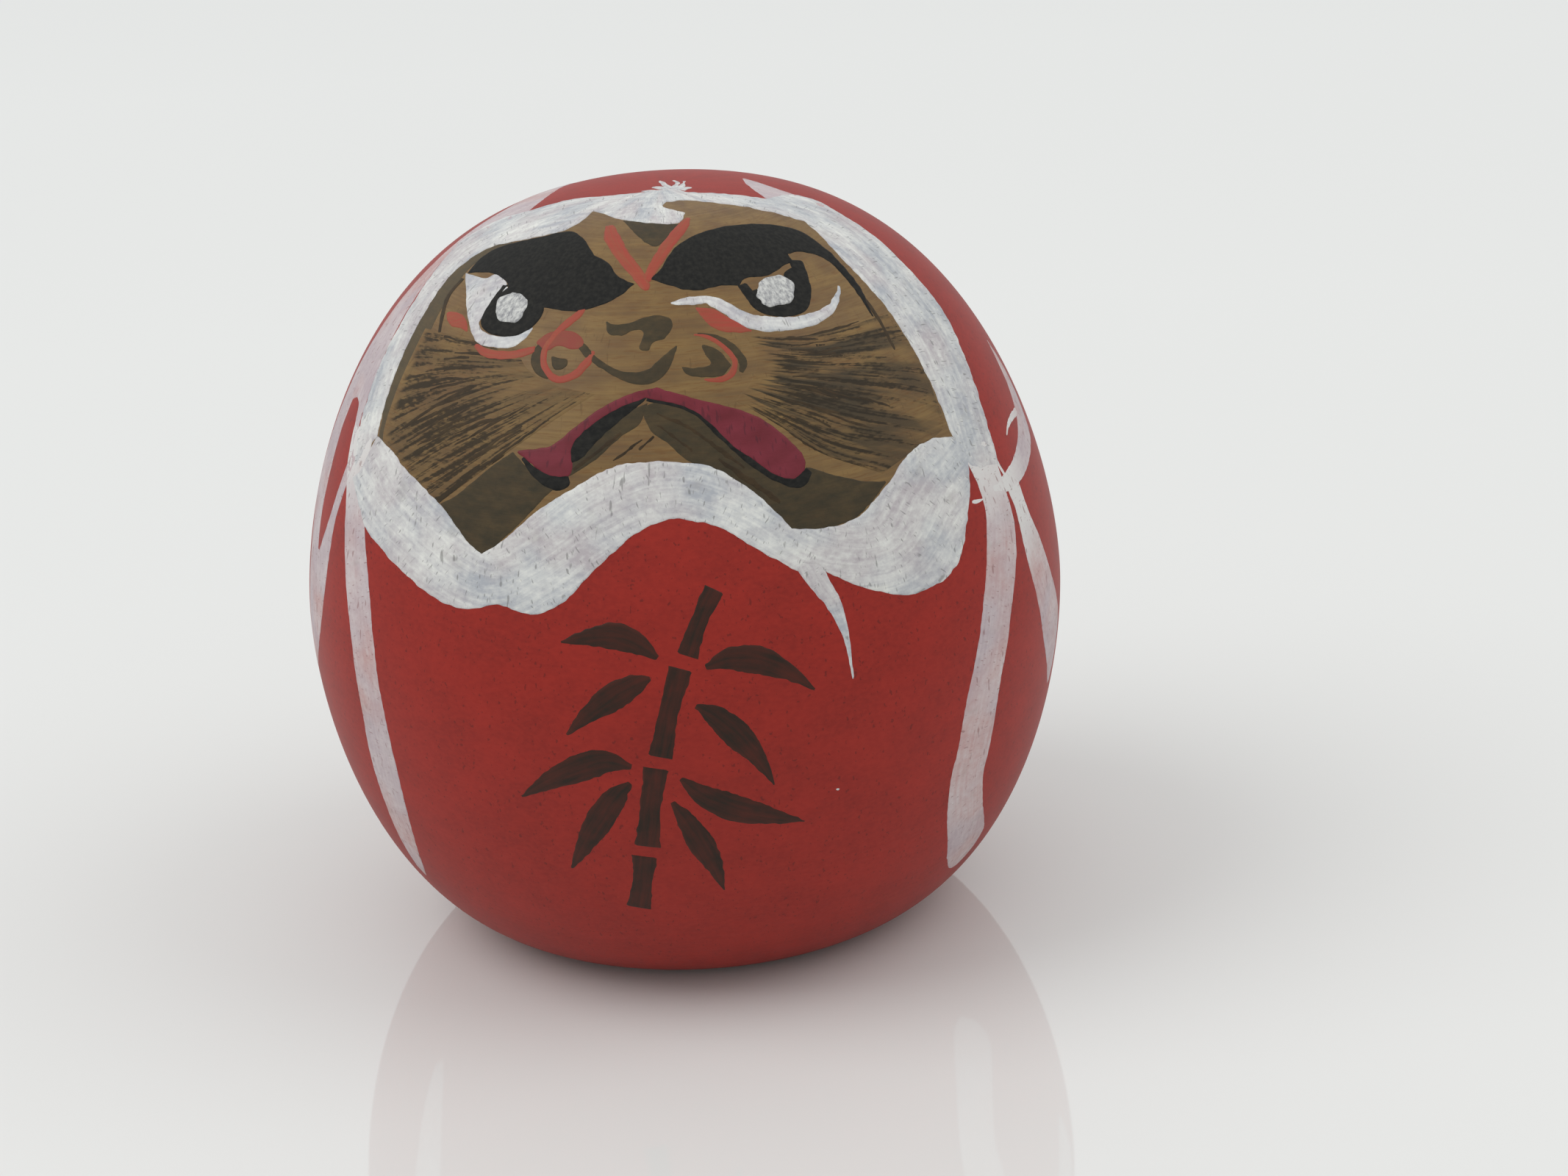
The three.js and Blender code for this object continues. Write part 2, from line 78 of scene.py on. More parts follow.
# Heights of the painted layers over the wood, from the thinnest wash to the thickest dot.
WASH = 0.008
BRUSHWORK = 0.011
NOSE_INK = 0.016
WHISKER = 0.018
RED_ACCENT = 0.022
BROW_INK = 0.026
LIP = 0.032
FOREHEAD_STROKE = 0.034
EYE_WHITE = 0.036
EYE_RING = 0.044
ROBE_LINE = 0.052
HOOD = 0.056
COLLAR = 0.072
DOT = 0.11

# How deep a layer's underside lies in the wood, and how far its edge dips into what it lies on.
SUNK = 0.05
EDGE_SINK = 0.012
ROBE_BASE = COAT_THICK - 0.01

# Spacing of places along an outline and inside it, and the width of a film's rounded edge.
EDGE_STEP = 0.16
FILL_STEP = 0.42
RIM = 0.16
ON_EDGE = 1e-4

# A brush line keeps its full height down to this half width, and stays flat almost to its edges.
THIN_LINE = 0.25
CREST_POWER = 6

# Rows and columns of a cheek's brushwork, and of the lattice that its whiskers follow.
BRUSHWORK_GRID = (150, 110)
WHISKER_GRID = (25, 200)
CHEEK_STROKES = 5


# ---- the turned body ----


def body_value(points):
    """Below zero inside the wood, zero on its surface and above zero outside."""
    across = np.hypot(points[..., 0], points[..., 1])
    height = points[..., 2]
    rise = np.clip(height - WIDEST_HEIGHT, 0, None) / (BODY_HEIGHT - WIDEST_HEIGHT)
    upper = (across / BODY_RADIUS) ** UPPER_ACROSS + rise**UPPER_RISE - 1
    flank = np.clip(across - FOOT_RADIUS, 0, None) / (BODY_RADIUS - FOOT_RADIUS)
    drop = np.abs(1 - height / WIDEST_HEIGHT)
    lower = flank**LOWER_ACROSS + drop**LOWER_DROP - 1
    return np.where(height > WIDEST_HEIGHT, upper, lower)


def surface_from(starts, directions):
    """The points where rays from inside the wood come out of it."""
    near = np.zeros(len(starts))
    far = np.full(len(starts), REACH)
    for _ in range(HALVINGS):
        middle = (near + far) / 2
        inside = body_value(starts + middle[:, None] * directions) < 0
        near = np.where(inside, middle, near)
        far = np.where(inside, far, middle)
    return starts + near[:, None] * directions


def onto_body(points):
    """Points moved along their ray from the middle until they lie on the wood."""
    away = points - MIDDLE
    away = away / np.linalg.norm(away, axis=1, keepdims=True)
    return surface_from(np.broadcast_to(MIDDLE, away.shape), away)


def outward(points):
    step = 0.01
    slopes = [body_value(points + step * axis) - body_value(points - step * axis) for axis in np.eye(3)]
    slope = np.stack(slopes, axis=-1)
    return slope / np.linalg.norm(slope, axis=-1, keepdims=True)


def turned_place(points):
    """Where points lie on the lathe: round the axis, then along the section, in mm."""
    away = points - MIDDLE
    round_axis = np.arctan2(away[:, 0], -away[:, 1])
    along = np.arctan2(away[:, 2], np.hypot(away[:, 0], away[:, 1]))
    columns = [BODY_RADIUS * np.sin(round_axis), BODY_RADIUS * np.cos(round_axis), BODY_RADIUS * along]
    return np.stack(columns, axis=-1)


# ---- drawings: flat places, in mm, put onto the body ----


def drawing(azimuth, elevation):
    """A flat drawing of the body seen square on; azimuth turns from the face towards +X."""
    turn = math.radians(azimuth)
    lift = math.radians(elevation)
    across = np.array([math.cos(turn), math.sin(turn), 0])
    out = np.array([math.sin(turn) * math.cos(lift), -math.cos(turn) * math.cos(lift), math.sin(lift)])
    upward = np.cross(out, across)

    def place(flat):
        starts = MIDDLE + flat[:, :1] * across + flat[:, 1:2] * upward
        return surface_from(starts, np.broadcast_to(out, starts.shape))

    place.axes = np.stack([across, upward, out])
    return place


def side(flat):
    """Places given as distance round the widest ring from the face, and height."""
    turn = flat[:, 0] / BODY_RADIUS
    starts = np.stack([0 * turn, 0 * turn, flat[:, 1]], axis=-1)
    directions = np.stack([np.sin(turn), -np.cos(turn), 0 * turn], axis=-1)
    return surface_from(starts, directions)


face = drawing(0, 35)
belly = drawing(0, 0)
crown = drawing(0, 90)


# ---- curves ----


def curve(points, step=EDGE_STEP):
    """A smooth curve through points, as places step apart; two points give a straight line."""
    points = np.asarray(points, float)
    padded = np.concatenate([[2 * points[0] - points[1]], points, [2 * points[-1] - points[-2]]])
    return evenly(through(padded), step)


def through(padded):
    """Catmull-Rom curve from the second of the padded points to the last but one."""
    part = np.linspace(0, 1, 14)[:-1, None]
    pieces = []
    for before, start, end, after in zip(padded, padded[1:], padded[2:], padded[3:]):
        bend = 2 * before - 5 * start + 4 * end - after
        twist = 3 * start - before - 3 * end + after
        pieces.append((2 * start + (end - before) * part + bend * part**2 + twist * part**3) / 2)
    pieces.append(padded[-2:-1])
    return np.concatenate(pieces)


def evenly(places, step):
    lengths = np.linalg.norm(np.diff(places[:, :2], axis=0), axis=1)
    along = np.concatenate([[0], np.cumsum(lengths)])
    count = max(2, int(round(along[-1] / step)) + 1)
    wanted = np.linspace(0, along[-1], count)
    return np.stack([np.interp(wanted, along, column) for column in places.T], axis=-1)


def outline(*runs):
    """A closed outline: smooth along each run, with a corner where two runs meet."""
    joined = np.concatenate([curve(run) for run in runs])
    gaps = np.linalg.norm(joined - np.roll(joined, 1, axis=0), axis=1)
    return joined[gaps > 0.3 * EDGE_STEP]


def loop(points):
    """A closed outline that is smooth all round."""
    points = np.asarray(points, float)
    padded = np.concatenate([points[-1:], points, points[:2]])
    return evenly(through(padded), EDGE_STEP)[:-1]


def soft_noise(count, reach, random):
    """Random values that change smoothly over reach steps and close on themselves."""
    raw = random.standard_normal(count)
    kernel = np.hanning(2 * reach + 3)
    spread = np.convolve(np.concatenate([raw, raw, raw]), kernel / np.sqrt((kernel**2).sum()), "same")
    return spread[count : 2 * count]


def random_for(name):
    return np.random.default_rng(sum(ord(letter) * (place + 1) for place, letter in enumerate(name)))


def ragged(edge, amount, random):
    """An outline moved in and out a little, as bristles leave it on turned wood."""
    along = np.roll(edge, -1, axis=0) - np.roll(edge, 1, axis=0)
    along = along / np.maximum(np.linalg.norm(along, axis=1, keepdims=True), 1e-9)
    normal = np.stack([-along[:, 1], along[:, 0]], axis=-1)
    shift = amount * (0.7 * soft_noise(len(edge), 1, random) + 0.3 * soft_noise(len(edge), 5, random))
    return edge + normal * np.clip(shift, -2 * amount, 2 * amount)[:, None]


# ---- paint films ----


def edge_distance(points, edge):
    """How far points are from a closed outline, and whether each is inside it."""
    ends = np.roll(edge, -1, axis=0)
    run = ends - edge
    length = np.maximum((run**2).sum(axis=1), 1e-12)
    nearest = np.full(len(points), np.inf)
    crossings = np.zeros(len(points), int)
    for start, end, step, square in zip(edge, ends, run, length):
        part = np.clip((points - start) @ step / square, 0, 1)
        nearest = np.minimum(nearest, ((points - start - part[:, None] * step) ** 2).sum(axis=1))
        if start[1] != end[1]:
            spans = (start[1] > points[:, 1]) != (end[1] > points[:, 1])
            cut = start[0] + step[0] * (points[:, 1] - start[1]) / step[1]
            crossings += spans & (points[:, 0] < cut)
    return np.sqrt(nearest), crossings % 2 == 1


def along_guide(points, guide):
    """Distances along and across a brushed guide line."""
    if guide is None:
        return points
    line = curve(guide, 1.0)
    best = np.full(len(points), np.inf)
    result = np.zeros((len(points), 2))
    travelled = 0.0
    for start, end in zip(line, line[1:]):
        step = end - start
        length = np.linalg.norm(step)
        part = np.clip((points - start) @ step / length**2, 0, 1)
        offset = points - start - part[:, None] * step
        distance = np.linalg.norm(offset, axis=1)
        across = np.sign(step[0] * offset[:, 1] - step[1] * offset[:, 0]) * distance
        nearer = distance < best
        best = np.where(nearer, distance, best)
        result[nearer] = np.stack([travelled + part * length, across], axis=-1)[nearer]
        travelled += length
    return result


def fill_points(edge, random):
    """Places inside an outline: a ring just inside its edge, then a loose grid."""
    along = np.roll(edge, -1, axis=0) - np.roll(edge, 1, axis=0)
    normal = np.stack([-along[:, 1], along[:, 0]], axis=-1)
    normal = normal / np.maximum(np.linalg.norm(normal, axis=1, keepdims=True), 1e-9)
    rings = [edge + offset * normal for offset in (-0.5 * RIM, 0.5 * RIM, -RIM, RIM)]
    low = edge.min(axis=0)
    high = edge.max(axis=0)
    columns = np.arange(low[0], high[0], FILL_STEP)
    rows = np.arange(low[1], high[1], FILL_STEP * 0.87)
    grid = np.stack(np.meshgrid(columns, rows), axis=-1)
    grid[1::2, :, 0] += FILL_STEP / 2
    grid = grid.reshape(-1, 2) + random.uniform(-0.06, 0.06, (grid.size // 2, 2))
    kept = []
    for places, least in zip(rings + [grid], (0.45 * RIM, 0.45 * RIM, 0.9 * RIM, 0.9 * RIM, 1.8 * RIM)):
        distance, inside = edge_distance(places, edge)
        kept.append(places[inside & (distance > least)])
    return np.concatenate(kept)


def closed_skin(top, bottom, triangles, brushed):
    """Joins a top and a bottom sheet over the same triangles into one closed body.

    brushed says where each of its points lies along and across the brush's path.
    """
    count = len(top)
    edges = dict.fromkeys(
        edge for triangle in triangles for edge in zip(triangle, triangle[1:] + triangle[:1])
    )
    walls = [
        (second, first, first + count, second + count)
        for first, second in edges
        if (second, first) not in edges
    ]
    under = [tuple(place + count for place in reversed(triangle)) for triangle in triangles]
    points = np.concatenate([top, bottom])
    return points, list(triangles) + under + walls, np.concatenate([brushed, brushed])


def film(place, edge, height, base=0.0, rough=0.022, guide=None, lumps=0.0, name="film"):
    """A film of paint inside an outline, with a rounded edge that sinks into what lies under it."""
    random = random_for(name)
    edge = ragged(edge, rough, random)
    flat = np.concatenate([edge, fill_points(edge, random)])
    loops = [(index, (index + 1) % len(edge)) for index in range(len(edge))]
    found = delaunay_2d_cdt([Vector(point) for point in flat], loops, [], 1, 1e-5)
    flat = np.array([list(point) for point in found[0]])
    triangles = []
    for triangle in found[2]:
        first, second, third = flat[list(triangle)]
        area = np.cross(second - first, third - first)
        triangles.append(tuple(triangle) if area > 0 else tuple(reversed(triangle)))
    distance, _ = edge_distance(flat, edge)
    part = np.clip(distance / RIM, 0, 1)
    rise = base + (height - base) * np.sqrt(1 - (1 - part) ** 2)
    rise += lumps * part * random.standard_normal(len(flat))
    rise = np.where(distance < ON_EDGE, base - EDGE_SINK, rise)
    points = place(flat)
    normals = outward(points)
    top = points + normals * rise[:, None]
    bottom = points - normals * (SUNK - base)
    return closed_skin(top, bottom, triangles, along_guide(flat, guide))


def stroke(place, path, height, base=0.0, rough=0.03, across_steps=6, name="stroke", step=EDGE_STEP):
    """A brush line along places of (first, second, width), thin at its edges."""
    random = random_for(name)
    line = curve(path, step)
    centre = place(line[:, :2])
    normals = outward(centre)
    along = np.gradient(centre, axis=0)
    sideways = np.cross(normals, along)
    sideways = sideways / np.linalg.norm(sideways, axis=1, keepdims=True)
    count = len(line)
    half = np.maximum(line[:, 2], 0.03) / 2
    left = half + rough * 0.6 * soft_noise(count, 1, random)
    right = half + rough * 0.6 * soft_noise(count, 1, random)
    left = np.clip(left, 0.4 * half, 1.5 * half)
    right = np.clip(right, 0.4 * half, 1.5 * half)
    part = np.linspace(-1, 1, across_steps + 1)
    spread = np.where(part < 0, part * left[:, None], part * right[:, None])
    grid = centre[:, None, :] + spread[..., None] * sideways[:, None, :]
    points = onto_body(grid.reshape(-1, 3))
    travelled = np.concatenate([[0], np.cumsum(np.linalg.norm(np.diff(centre, axis=0), axis=1))])
    thin = np.clip(half / THIN_LINE, 0.25, 1)
    crest = np.sqrt(np.clip(1 - np.abs(part) ** CREST_POWER, 0, 1))
    rise = base + (height - base) * thin[:, None] * crest[None, :]
    rise[:, [0, -1]] = base - EDGE_SINK
    rise[[0, -1], :] = base - EDGE_SINK
    strokes = np.stack([np.broadcast_to(travelled[:, None], spread.shape), spread], axis=-1)
    normals = outward(points)
    top = points + normals * rise.reshape(-1)[:, None]
    bottom = points - normals * (SUNK - base)
    return closed_skin(top, bottom, grid_triangles(count, across_steps + 1), strokes.reshape(-1, 2))


def grid_triangles(rows, columns):
    triangles = []
    for row in range(rows - 1):
        for column in range(columns - 1):
            corner = row * columns + column
            triangles.append((corner, corner + columns, corner + columns + 1))
            triangles.append((corner, corner + columns + 1, corner + 1))
    return triangles


def lattice(lines, rows, columns):
    """Places spread evenly along lines and across from the first line to the last."""
    spread = np.stack([resample(curve(line), rows) for line in lines])
    places = [evenly_across(spread[:, row], columns) for row in range(rows)]
    return np.stack(places)


def evenly_across(points, count):
    padded = np.concatenate([[2 * points[0] - points[1]], points, [2 * points[-1] - points[-2]]])
    return resample(through(padded), count)


def fan(place, lines, height):
    """A film over the lines' spread, brushed from their first ends to their last."""
    rows, columns = BRUSHWORK_GRID
    grid = lattice(lines, rows, columns)
    middle = grid[:, columns // 2]
    length = np.linalg.norm(np.diff(middle, axis=0), axis=1).sum()
    width = np.linalg.norm(np.diff(grid[rows // 2], axis=0), axis=1).sum()
    ends = np.minimum(np.arange(rows), np.arange(rows)[::-1])[:, None]
    sides = np.minimum(np.arange(columns), np.arange(columns)[::-1])[None, :]
    rise = np.where(np.minimum(ends, sides) == 0, -EDGE_SINK, height).reshape(-1)
    shares = np.meshgrid(np.linspace(0, 1, rows), np.linspace(0, 1, columns), indexing="ij")
    strokes = np.stack([length * shares[0], width * shares[1]], axis=-1).reshape(-1, 2)
    points = place(grid.reshape(-1, 2))
    normals = outward(points)
    top = points + normals * rise[:, None]
    bottom = points - normals * SUNK
    return closed_skin(top, bottom, grid_triangles(rows, columns), strokes)


def resample(places, count):
    wanted = np.linspace(0, len(places) - 1, count)
    return np.stack([np.interp(wanted, np.arange(len(places)), column) for column in places.T], axis=-1)


def add_piece(name, skins, material, slot, *nodes):
    """One named mesh from closed skins, riding on the doll in place of its CAD solids."""
    points = np.concatenate([skin[0] for skin in skins])
    strokes = np.concatenate([skin[2] for skin in skins])
    faces = []
    start = 0
    for skin in skins:
        faces += [tuple(corner + start for corner in corners) for corners in skin[1]]
        start += len(skin[0])
    mesh = bpy.data.meshes.new(name)
    mesh.from_pydata((points * MM).tolist(), [], faces)
    mesh.polygons.foreach_set("use_smooth", [True] * len(faces))
    add_places(mesh, "turned", turned_place(points))
    add_places(mesh, "stroke", np.column_stack([strokes, np.zeros(len(strokes))]))
    mesh.materials.append(material)
    piece = bpy.data.objects.new(name, mesh)
    bpy.context.scene.collection.objects.link(piece)
    make_faces_point_out(piece)
    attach(piece, "root")
    if nodes:
        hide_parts(*nodes)


def lay(node, material, slot, *skins):
    """A layer in place of the CAD node that it is named for; its name ends as its slot's does."""
    add_piece(f"{node}_{slot.rsplit('_', 1)[1]}", skins, material, slot, node)


def make_faces_point_out(piece):
    """Turns the mesh inside out where its enclosed volume comes out negative."""
    mesh = piece.data
    mesh.calc_loop_triangles()
    corners = np.zeros(len(mesh.loop_triangles) * 3, int)
    mesh.loop_triangles.foreach_get("vertices", corners)
    places = np.zeros(len(mesh.vertices) * 3)
    mesh.vertices.foreach_get("co", places)
    first, second, third = places.reshape(-1, 3)[corners.reshape(-1, 3)].transpose(1, 0, 2)
    if (first * np.cross(second, third)).sum() < 0:
        mesh.flip_normals()


def add_places(mesh, name, places):
    attribute = mesh.attributes.new(name, "FLOAT_VECTOR", "POINT")
    attribute.data.foreach_set("vector", np.asarray(places, np.float32).reshape(-1))


# ---- materials ----

# Bristle streaks are 0.2 to 0.4 mm wide, which is what a small hair brush leaves.


def colour(code):
    """The linear colour of an sRGB hex code."""
    parts = [int(code[place : place + 2], 16) / 255 for place in (1, 3, 5)]
    linear = [part / 12.92 if part <= 0.04045 else ((part + 0.055) / 1.055) ** 2.4 for part in parts]
    return (*linear, 1.0)


def add_node(tree, kind, links=(), **settings):
    """Adds a shader node; links maps its inputs to values or to other nodes' outputs."""
    node = tree.nodes.new("ShaderNode" + kind)
    for setting, value in settings.items():
        setattr(node, setting, value)
    for socket, value in dict(links).items():
        if isinstance(value, bpy.types.NodeSocket):
            tree.links.new(value, node.inputs[socket])
        else:
            node.inputs[socket].default_value = value
    return node


def grains(tree, attribute, size, detail=2.0, shift=0.0, sharpness=0.55):
    """Cloudy variation whose patches measure size = (x, y, z) mm in the named places."""
    places = add_node(tree, "Attribute", attribute_name=attribute)
    scaled = add_node(
        tree,
        "VectorMath",
        {0: places.outputs["Vector"], 1: tuple(1 / part for part in size), 2: (shift, shift, shift)},
        operation="MULTIPLY_ADD",
    )
    links = {"Vector": scaled.outputs[0], "Scale": 1.0, "Detail": detail, "Roughness": sharpness}
    return add_node(tree, "TexNoise", links).outputs[0]


def between(tree, value, low, high, start=0.0, end=1.0):
    """Stretches value so that low gives start and high gives end, and holds it there."""
    links = {"Value": value, "From Min": low, "From Max": high, "To Min": start, "To Max": end}
    return add_node(tree, "MapRange", links).outputs[0]


def blended(tree, share, first, second):
    """The first colour where share is 0 and the second where it is 1."""
    return add_node(tree, "Mix", {0: share, 6: first, 7: second}, data_type="RGBA").outputs[2]


def combined(tree, first, second, way="MULTIPLY"):
    return add_node(tree, "Math", {0: first, 1: second}, operation=way).outputs[0]


def lathe_rings(tree, pitch=0.22):
    """The fine rings, pitch mm apart, that the turning tool and the sandpaper leave in the wood."""
    return grains(tree, "turned", (60.0, 60.0, pitch), detail=3.0, sharpness=0.7)


def pores(tree, share=0.64, shift=0.0):
    """Short dark pores along the grain, 0.2 by 0.9 mm, drawn a little coarser than real ones."""
    specks = grains(tree, "turned", (0.3, 0.3, 0.9), detail=1.0, shift=shift)
    return between(tree, specks, share, share + 0.06)


def finish(material, base, roughness, relief, depth, shine=0.28):
    """Ends a material in one painted or waxed surface with its relief, depth in mm."""
    tree = material.node_tree
    surface = tree.nodes["Principled BSDF"]
    surface.inputs["IOR"].default_value = 1.5
    surface.inputs["Specular IOR Level"].default_value = shine
    if isinstance(roughness, bpy.types.NodeSocket):
        tree.links.new(roughness, surface.inputs["Roughness"])
    else:
        surface.inputs["Roughness"].default_value = roughness
    tree.links.new(base, surface.inputs["Base Color"])
    bump = add_node(tree, "Bump", {"Strength": 1.0, "Distance": depth * MM, "Height": relief})
    tree.links.new(bump.outputs[0], surface.inputs["Normal"])
    return material


def new_material(name):
    material = bpy.data.materials.new(name)
    material.use_nodes = True
    return material, material.node_tree


def wood_colour(tree):
    """Turned wood: honey brown with fine level streaks of grain and a few darker patches."""
    rings = between(tree, lathe_rings(tree), 0.3, 0.72)
    patches = between(tree, grains(tree, "turned", (5.0, 5.0, 1.6), detail=4.0), 0.36, 0.64)
    light = blended(tree, patches, colour("#74593A"), colour("#856A41"))
    dark = blended(tree, patches, colour("#665037"), colour("#765E3C"))
    ground = blended(tree, rings, dark, light)
    dashes = grains(tree, "turned", (1.6, 1.6, 0.11), detail=3.0, shift=13.0, sharpness=0.6)
    streaked = blended(tree, between(tree, dashes, 0.52, 0.66, 0.0, 0.55), ground, colour("#6B4A2A"))
    return blended(tree, combined(tree, pores(tree, 0.68), 0.3), streaked, colour("#4B3823"))


def red_colour(tree):
    """Vermilion brushed over wood: even, with a fine grain, darker clouds and pores as specks."""
    clouds = between(tree, grains(tree, "turned", (4.0, 4.0, 2.5), detail=5.0, sharpness=0.65), 0.3, 0.7)
    ground = blended(tree, clouds, colour("#821C14"), colour("#962218"))
    fine = between(tree, grains(tree, "turned", (0.4, 0.4, 0.25), detail=3.0, shift=4.0), 0.35, 0.65)
    grained = blended(tree, combined(tree, fine, 0.4), ground, colour("#A22A1D"))
    specks = between(tree, grains(tree, "turned", (0.24, 0.24, 0.3), detail=1.0, shift=7.0), 0.66, 0.72)
    return blended(tree, combined(tree, specks, 0.55), grained, colour("#571410"))


def make_bare_wood():
    """Fine-grained hardwood, turned, sanded and waxed: a soft sheen broken by the rings."""
    material, tree = new_material("turned_wood_waxed")
    rings = lathe_rings(tree)
    roughness = between(tree, rings, 0.3, 0.7, 0.5, 0.38)
    return finish(material, wood_colour(tree), roughness, rings, 0.012, shine=0.2)


def make_red_paint():
    """Opaque vermilion water paint, brushed on and waxed: satin, with the rings faintly through."""
    material, tree = new_material("vermilion_paint_waxed")
    rings = lathe_rings(tree, 0.3)
    return finish(material, red_colour(tree), 0.5, rings, 0.008)


def make_chalk_white(name, thick, thin, cover, under, fresh=0.0):
    """White of ground shell in glue, brushed on: chalky, with bristle streaks and open pores.

    Its tones are the thick white, two thin ones that let the ground through, and the ground under
    the pores. cover is where thin turns to thick. The brush leaves it thicker over its first
    fresh mm.
    """
    material, tree = new_material(name)
    bristles = grains(tree, "stroke", (6.0, 0.28, 1.0), detail=5.0, sharpness=0.6)
    clouds = grains(tree, "turned", (4.0, 4.0, 3.0), detail=6.0, shift=3.0, sharpness=0.62)
    fine = grains(tree, "turned", (0.5, 0.5, 0.35), detail=4.0, shift=8.0, sharpness=0.65)
    rough = combined(tree, combined(tree, bristles, 0.27), combined(tree, fine, 0.25), "ADD")
    worn = combined(tree, rough, combined(tree, clouds, 0.48), "ADD")
    if fresh:
        places = add_node(tree, "Attribute", attribute_name="stroke")
        along = add_node(tree, "SeparateXYZ", {0: places.outputs["Vector"]}).outputs[0]
        whiter = between(tree, along, 0.3 * fresh, fresh, 1.0, 0.0)
        worn = combined(tree, worn, combined(tree, whiter, 0.1), "ADD")
    covered = between(tree, worn, cover, cover + 0.2)
    tints = between(tree, grains(tree, "turned", (7.0, 7.0, 5.0), detail=2.0, shift=17.0), 0.42, 0.58)
    thinned = blended(tree, tints, colour(thin[0]), colour(thin[1]))
    white = blended(tree, covered, thinned, colour(thick))
    if fresh:
        white = blended(tree, combined(tree, whiter, 0.8), white, colour("#D9D8D5"))
    dashes = between(tree, grains(tree, "stroke", (0.14, 0.6, 1.0), detail=1.0, shift=6.0), 0.66, 0.72)
    patches = grains(tree, "turned", (2.2, 2.2, 1.4), detail=3.0, shift=21.0)
    stained = blended(tree, between(tree, patches, 0.6, 0.72, 0.0, 0.2), white, colour("#8E8982"))
    gaps = combined(tree, combined(tree, pores(tree, 0.68, 3.0), dashes, "MAXIMUM"), 0.6)
    base = blended(tree, gaps, stained, colour(under))
    return finish(material, base, 0.6, rough, 0.02)


def make_black_ink():
    """Soot ink, brushed thick: near black and matt, with the rings a little lighter."""
    material, tree = new_material("soot_ink")
    rings = lathe_rings(tree, 0.3)
    fine = between(tree, grains(tree, "turned", (0.5, 0.5, 0.3), detail=4.0, shift=2.0), 0.38, 0.68)
    base = blended(tree, fine, colour("#191918"), colour("#282724"))
    return finish(material, base, 0.62, rings, 0.012, shine=0.14)


def make_wash(name, tint, cover):
    """Thinned ink over the wood: the grain shows through where the wash ran thin."""
    material, tree = new_material(name)
    rings = lathe_rings(tree)
    clouds = grains(tree, "turned", (1.6, 1.6, 0.7), detail=5.0, shift=11.0, sharpness=0.65)
    share = between(tree, clouds, 0.3, 0.66, cover + 0.1, cover - 0.14)
    base = blended(tree, share, wood_colour(tree), colour(tint))
    return finish(material, base, 0.56, rings, 0.012, shine=0.2)


def make_bright_red():
    """Thin vermilion over wood: coral, streaked by the bristles."""
    material, tree = new_material("thin_vermilion")
    bristles = grains(tree, "stroke", (3.0, 0.18, 1.0), detail=3.0)
    share = between(tree, bristles, 0.3, 0.65, 0.95, 0.6)
    base = blended(tree, share, wood_colour(tree), colour("#A03A30"))
    return finish(material, base, 0.55, bristles, 0.01)


def make_crimson():
    """Crimson water paint on the lip: deep pink with open pores."""
    material, tree = new_material("crimson_paint")
    clouds = between(tree, grains(tree, "turned", (1.8, 1.8, 1.0), detail=4.0), 0.3, 0.7)
    ground = blended(tree, clouds, colour("#641A25"), colour("#742532"))
    base = blended(tree, combined(tree, pores(tree, 0.62, 5.0), 0.6), ground, colour("#4A1622"))
    return finish(material, base, 0.5, lathe_rings(tree), 0.01)


def make_brown_ink():
    """Soot ink drawn quickly over the red: brown-black, redder where the brush ran thin."""
    material, tree = new_material("brown_ink_on_red")
    bristles = grains(tree, "stroke", (4.0, 0.3, 1.0), detail=3.0)
    clouds = grains(tree, "turned", (2.0, 2.0, 1.5), detail=3.0, shift=2.0)
    share = between(tree, combined(tree, bristles, clouds, "ADD"), 0.75, 1.3)
    base = blended(tree, share, colour("#2A2019"), colour("#4C241B"))
    return finish(material, base, 0.5, bristles, 0.008, shine=0.2)


def make_dry_brush(name, length, washed, bare, late):
    """Ink dragged almost dry over the cheek: dark threads in a thin wash, with wood between.

    The wash thins out to its full length; washed and bare are the shares it starts and ends with.
    Some threads begin as much as late mm after the others.
    """
    material, tree = new_material(name)
    places = add_node(tree, "Attribute", attribute_name="stroke")
    along = add_node(tree, "SeparateXYZ", {0: places.outputs["Vector"]}).outputs[0]
    starts = grains(tree, "stroke", (50.0, 0.5, 1.0), detail=2.0, shift=31.0)
    first = between(tree, starts, 0.36, 0.64, 0.0, late)
    rising = between(tree, combined(tree, along, first, "SUBTRACT"), 0.0, 0.5)
    falling = between(tree, along, 0.5 * length, length, 0.0, 0.07)
    bands = grains(tree, "stroke", (7.0, 1.1, 1.0), detail=4.0, shift=5.0, sharpness=0.6)
    amount = between(tree, along, 0.4 * length, 0.9 * length, washed, bare)
    wash = combined(tree, between(tree, combined(tree, bands, falling, "SUBTRACT"), 0.38, 0.56), amount)
    washed_wood = blended(tree, combined(tree, wash, rising), wood_colour(tree), colour("#43392A"))
    threads = grains(tree, "stroke", (7.0, 0.38, 1.0), detail=5.0, sharpness=0.62)
    broken = grains(tree, "turned", (0.7, 0.7, 0.2), detail=3.0, shift=9.0)
    both = combined(tree, combined(tree, threads, 0.78), combined(tree, broken, 0.22), "ADD")
    ink = combined(tree, both, falling, "SUBTRACT")
    share = combined(tree, between(tree, ink, 0.485, 0.545, 0.0, 0.9), rising)
    base = blended(tree, share, washed_wood, colour("#2A2216"))
    return finish(material, base, 0.56, lathe_rings(tree), 0.012, shine=0.2)


